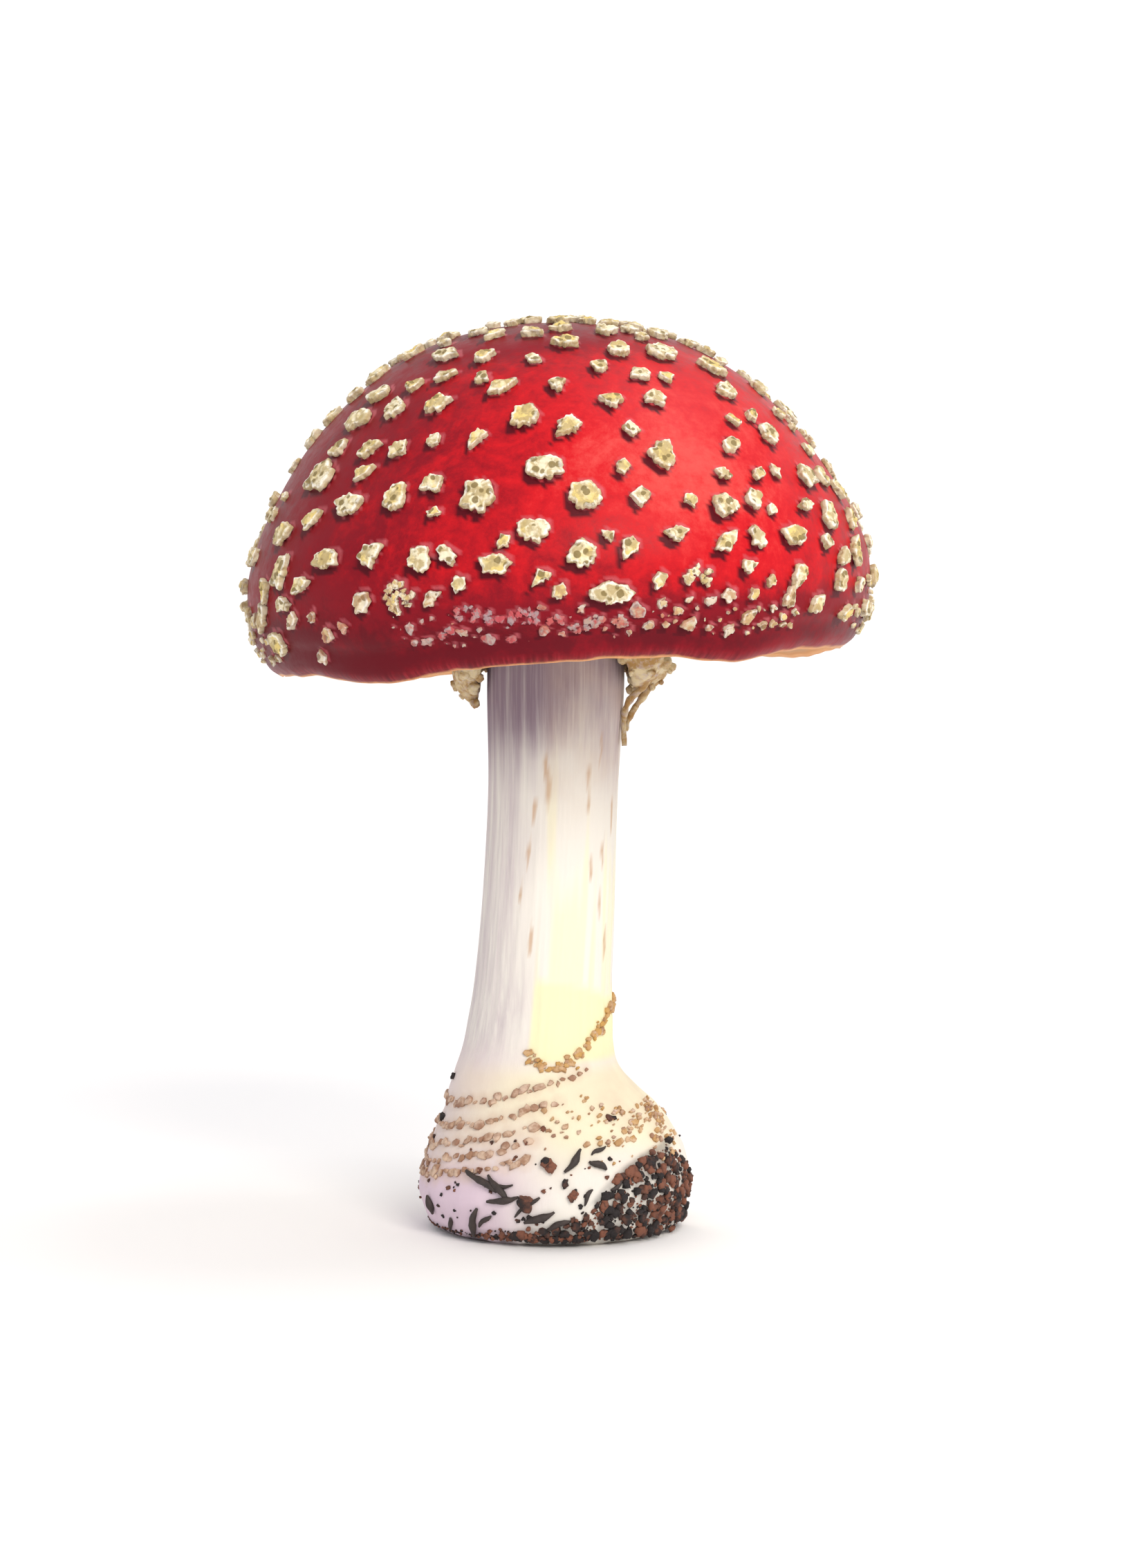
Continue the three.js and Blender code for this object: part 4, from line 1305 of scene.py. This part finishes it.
class MUSHROOM_OT_bands(bpy.types.Operator):
    """Set the browned scales that ring the bulb, and the crust under the yellow patch"""

    bl_idname = "mushroom.bands"
    bl_label = "Veil bands"

    def execute(self, context):
        size = context.scene.mushroom_sizes.scale_size
        material = veil_scale(context.scene.mushroom_colours)
        surface = surface_of(bpy.data.objects["stem_and_bulb"])
        draw = random.Random(23)
        for name in [f"veil_band_{i}" for i in range(1, 6)]:
            bm = bmesh.new()
            for spot in self.spread(trail(name, 20), size * 0.62):
                self.scale(bm, surface, spot, size, draw, gold=draw.uniform(0, 0.12))
            piece(name.replace("veil_band", "scale_band"), bm, [material], [name])
        bm = bmesh.new()
        for spot in self.spread(trail("veil_collar", 12), size * 0.3):
            for _ in range(3):
                self.scale(bm, surface, spot, 0.7 * size, draw, gold=draw.uniform(0.2, 1), scatter=0.9)
        piece("scale_collar", bm, [material], ["veil_collar"])
        bm = bmesh.new()
        for count, bearings, heights in SCALE_SPECKS:
            for _ in range(count):
                spot = beside_bulb(draw.triangular(*bearings), draw.triangular(*heights))
                speck = draw.uniform(0.3, 0.8) * size
                self.scale(bm, surface, spot, speck, draw, gold=draw.uniform(0, 0.7))
        piece("scale_specks", bm, [material])
        return {"FINISHED"}

    def spread(self, points, step):
        """Points a step apart along a line through these."""
        line = smooth(points, 6)
        found = [line[0]]
        for point in line:
            if (point - found[-1]).length >= step:
                found.append(point)
        return found

    def scale(self, bm, surface, spot, size, draw, gold, scatter=0.45):
        """One scale, laid near a spot on the bulb."""
        off = Vector([draw.uniform(-scatter, scatter) * MM for _ in range(3)])
        seat = seat_at(surface, spot + off)
        width = size * draw.uniform(0.5, 1.5)
        corners = block_outline(width, width * draw.uniform(0.35, 0.6), 7, draw)
        lump(bm, seat, corners, draw.uniform(0.4, 0.8) * MM, 2, draw.randint(0, 999), gold, 0.8 * MM)


class MUSHROOM_OT_soil(bpy.types.Operator):
    """Strew the soil that clings to the bulb: the crust, the foot's edge, clods and specks"""

    bl_idname = "mushroom.soil"
    bl_label = "Soil"

    def execute(self, context):
        size = context.scene.mushroom_sizes.grain_size
        material = forest_soil(context.scene.mushroom_colours)
        surface = surface_of(bpy.data.objects["stem_and_bulb"])
        draw = random.Random(5)
        self.crust(surface, material, size, draw)
        self.edge(surface, material, size, draw)
        for name in ("soil_clod_1", "soil_clod_2", "soil_clod_3"):
            self.clod(name, surface, material, draw)
        bm = bmesh.new()
        for bearing, height, width in SOIL_SPECKS:
            self.grain(bm, surface, beside_bulb(bearing, height), width * MM, draw, 3)
        for _ in range(STRAY_GRAINS):
            spot = beside_bulb(draw.uniform(-180, 180), draw.triangular(0.6, 24, 3))
            self.grain(bm, surface, spot, draw.uniform(0.4, 1.1) * MM, draw, 2)
        for bearing, height, count in SOIL_PATCHES:
            for _ in range(count):
                low = max(0.4, draw.gauss(height, 1.9))
                spot = beside_bulb(draw.gauss(bearing, 7), low)
                self.grain(bm, surface, spot, size * draw.uniform(0.4, 1.4), draw, 2)
        piece("soil_specks", bm, [material])
        return {"FINISHED"}

    def grain(self, bm, surface, spot, width, draw, fineness):
        """One grain, pressed on the bulb."""
        corners = block_outline(width, width * draw.uniform(0.6, 1), 6, draw)
        seat = seat_at(surface, spot)
        seat.translation.z = max(seat.translation.z, 0.35 * width)
        redness = draw.random() ** 1.6
        lump(bm, seat, corners, 0.45 * width, fineness, draw.randint(0, 999), redness, 0.6 * width, 0.5)

    def crust(self, surface, material, size, draw):
        """Grains laid all over the crust's solid."""
        mesh = frame["nodes"]["soil_crust"].data
        faces = list(mesh.polygons)
        areas = [face.area for face in faces]
        bm = bmesh.new()
        for face in draw.choices(faces, weights=areas, k=CRUST_GRAINS):
            corners = [mesh.vertices[i].co for i in face.vertices[:3]]
            spot = corners[0].lerp(corners[1], draw.random()).lerp(corners[2], draw.random())
            stray = abs(draw.gauss(0, 0.9)) * MM
            spot += Vector([draw.uniform(-stray, stray) for _ in range(3)])
            self.grain(bm, surface, spot, size * (0.35 + 1.7 * draw.random() ** 3), draw, 2)
        piece("soil_crust_grains", bm, [material], ["soil_crust"])

    def edge(self, surface, material, size, draw):
        """Grains along the foot, thick at the front and thin at the back."""
        bm = bmesh.new()
        for _ in range(EDGE_GRAINS):
            bearing = draw.gauss(-10, 62)
            thick = 0.35 + 0.65 * hump(apart(bearing, 5), 0, 38)
            height = (1.6 * abs(draw.gauss(0, 0.8)) + 0.4) * thick
            spot = beside_bulb(bearing, height, 23)
            self.grain(bm, surface, spot, size * draw.uniform(0.5, 1.5) * thick, draw, 2)
        piece("soil_edge_grains", bm, [material], ["soil_edge"])

    def clod(self, name, surface, material, draw):
        """A lump of soil made of several."""
        low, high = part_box(name)
        width = (high - low).length / math.sqrt(3)
        bm = bmesh.new()
        for i in range(5):
            off = Vector([draw.uniform(-0.28, 0.28) * width for _ in range(3)])
            seat = seat_at(surface, (low + high) / 2 + off)
            corners = block_outline(0.75 * width, 0.65 * width, 7, draw)
            lump(bm, seat, corners, 0.5 * width, 3, 40 * i + 3, draw.uniform(0.2, 0.9), 0.9 * MM, 0.3)
        piece(f"{name}_crumbs", bm, [material], [name])


class MUSHROOM_OT_needles(bpy.types.Operator):
    """Stick the bits of needle and grass to the bulb"""

    bl_idname = "mushroom.needles"
    bl_label = "Needles"

    def execute(self, context):
        material = dead_needle(context.scene.mushroom_colours)
        surface = surface_of(bpy.data.objects["stem_and_bulb"])
        names = sorted(name for name in frame["nodes"] if name.startswith("needle_"))
        for name in names:
            bm = bmesh.new()
            self.needle(bm, surface, self.ends(name), 0.62 * MM)
            piece(name.replace("needle", "dead_needle"), bm, [material], [name])
        bm = bmesh.new()
        for bearing, height, other_bearing, other_height, width in TWIGS:
            first = beside_bulb(bearing, height, 23)
            last = beside_bulb(other_bearing, other_height, 23)
            self.needle(bm, surface, (first, last), width * MM / 2)
        piece("dead_twigs", bm, [material])
        return {"FINISHED"}

    def ends(self, name):
        """The two ends of a needle's solid: its corners furthest apart."""
        corners = [v.co for v in frame["nodes"][name].data.vertices]
        middle = sum(corners, Vector()) / len(corners)
        first = max(corners, key=lambda co: (co - middle).length)
        last = max(corners, key=lambda co: (co - first).length)
        return first.copy(), last.copy()

    def needle(self, bm, surface, ends, radius):
        """A tapered, slightly bent rod that lies on the bulb from one end to the other."""
        first, last = ends
        route = []
        radii = []
        steps = 9
        for i in range(steps + 1):
            share = i / steps
            place, normal, _, _ = surface.find_nearest(first.lerp(last, share))
            sway = 0.25 * MM * math.sin(5 * share + first.x / MM)
            across = normal.cross(last - first).normalized()
            route.append(place + normal * 0.7 * radius + across * sway)
            rugged = 1 + 0.4 * noise.noise(place / (1.5 * MM))
            radii.append(radius * rugged * (0.2 + 0.8 * math.sin(math.pi * (0.06 + 0.88 * share))))
        rod(bm, route, radii, 10)


class MUSHROOM_OT_stage(bpy.types.Operator):
    """Set the pale ground, the soft lamps and the camera"""

    bl_idname = "mushroom.stage"
    bl_label = "Stage"

    def execute(self, context):
        scene = context.scene
        stage = scene.mushroom_stage
        self.ground(scene)
        self.lamp(scene, "key", stage.key, (0.75, -1.65, 1.25), 0.9, "#fff8ee")
        self.lamp(scene, "top", stage.top, (0.7, 0.1, 1.7), 0.8, "#ffffff")
        world = bpy.data.worlds.new("pale_room")
        world.use_nodes = True
        background = world.node_tree.nodes["Background"].inputs
        background["Color"].default_value = (*linear("#f4f4fa"), 1.0)
        background["Strength"].default_value = stage.room
        scene.world = world
        scene.view_settings.view_transform = "Standard"
        rim = cap_place(scene.mushroom_sizes.cap_tilt).translation.z
        camera = bpy.data.objects.new("camera", bpy.data.cameras.new("camera"))
        camera.data.lens = stage.lens
        camera.data.sensor_width = 36
        camera.location = (stage.shift, -stage.distance, rim)
        aim = Vector((stage.shift, 0, rim - stage.sight)) - camera.location
        camera.rotation_euler = aim.to_track_quat("-Z", "Y").to_euler()
        camera.data.clip_start = 0.01
        scene.collection.objects.link(camera)
        scene.camera = camera
        return {"FINISHED"}

    def ground(self, scene):
        """A floor that sweeps up into a backdrop, in metres."""
        bm = bmesh.new()
        near, bend, reach, height, width = -1.6, 0.7, 0.5, 2.2, 6
        points = [
            (near, 0), (0, 0), (bend, 0), (bend + 0.5 * reach, 0.07),
            (bend + 0.93 * reach, 0.5 * reach), (bend + reach, reach), (bend + reach, height),
        ]
        verts = [bm.verts.new((-width / 2, y, z)) for y, z in smooth(points, 6)]
        edges = [bm.edges.new(pair) for pair in zip(verts, verts[1:])]
        far = verts_in(bmesh.ops.extrude_edge_only(bm, edges=edges)["geom"])
        bmesh.ops.translate(bm, verts=far, vec=(width, 0, 0))
        bmesh.ops.recalc_face_normals(bm, faces=bm.faces)
        mesh = bpy.data.meshes.new("ground")
        bm.to_mesh(mesh)
        bm.free()
        mesh.shade_smooth()
        mesh.materials.append(matt_paper(scene.mushroom_colours))
        ground = bpy.data.objects.new("ground", mesh)
        scene.collection.objects.link(ground)

    def lamp(self, scene, name, power, place, size, hex_colour):
        """A square soft lamp that faces the middle of the mushroom."""
        light = bpy.data.lights.new(name, "AREA")
        light.energy = power
        light.size = size
        light.color = linear(hex_colour)
        lamp = bpy.data.objects.new(name, light)
        lamp.location = place
        middle = (solid_bounds[0] + solid_bounds[1]) / 2
        lamp.rotation_euler = (middle - lamp.location).to_track_quat("-Z", "Y").to_euler()
        scene.collection.objects.link(lamp)


STEPS = (
    MUSHROOM_OT_cap, MUSHROOM_OT_gills, MUSHROOM_OT_warts, MUSHROOM_OT_stem, MUSHROOM_OT_ring,
    MUSHROOM_OT_bands, MUSHROOM_OT_soil, MUSHROOM_OT_needles, MUSHROOM_OT_stage,
)


class MUSHROOM_PT_sidebar(bpy.types.Panel):
    """The mushroom's steps, sizes and colours"""

    bl_idname = "MUSHROOM_PT_sidebar"
    bl_label = "Fly agaric"
    bl_space_type = "VIEW_3D"
    bl_region_type = "UI"
    bl_category = "Mushroom"

    def draw(self, context):
        for step in STEPS:
            self.layout.operator(step.bl_idname)
        for group in ("mushroom_sizes", "mushroom_colours", "mushroom_stage"):
            settings = getattr(context.scene, group)
            for name in settings.__annotations__:
                self.layout.prop(settings, name)


CLASSES = (MushroomSizes, MushroomColours, MushroomStage, *STEPS, MUSHROOM_PT_sidebar)


def register():
    for kind in CLASSES:
        bpy.utils.register_class(kind)
    bpy.types.Scene.mushroom_sizes = bpy.props.PointerProperty(type=MushroomSizes)
    bpy.types.Scene.mushroom_colours = bpy.props.PointerProperty(type=MushroomColours)
    bpy.types.Scene.mushroom_stage = bpy.props.PointerProperty(type=MushroomStage)


def unregister():
    del bpy.types.Scene.mushroom_stage
    del bpy.types.Scene.mushroom_colours
    del bpy.types.Scene.mushroom_sizes
    for kind in reversed(CLASSES):
        bpy.utils.unregister_class(kind)


def main():
    register()
    bpy.ops.mushroom.cap()
    bpy.ops.mushroom.gills()
    bpy.ops.mushroom.warts()
    bpy.ops.mushroom.stem()
    bpy.ops.mushroom.ring()
    bpy.ops.mushroom.bands()
    bpy.ops.mushroom.soil()
    bpy.ops.mushroom.needles()
    bpy.ops.mushroom.stage()


if __name__ == "__main__":
    main()
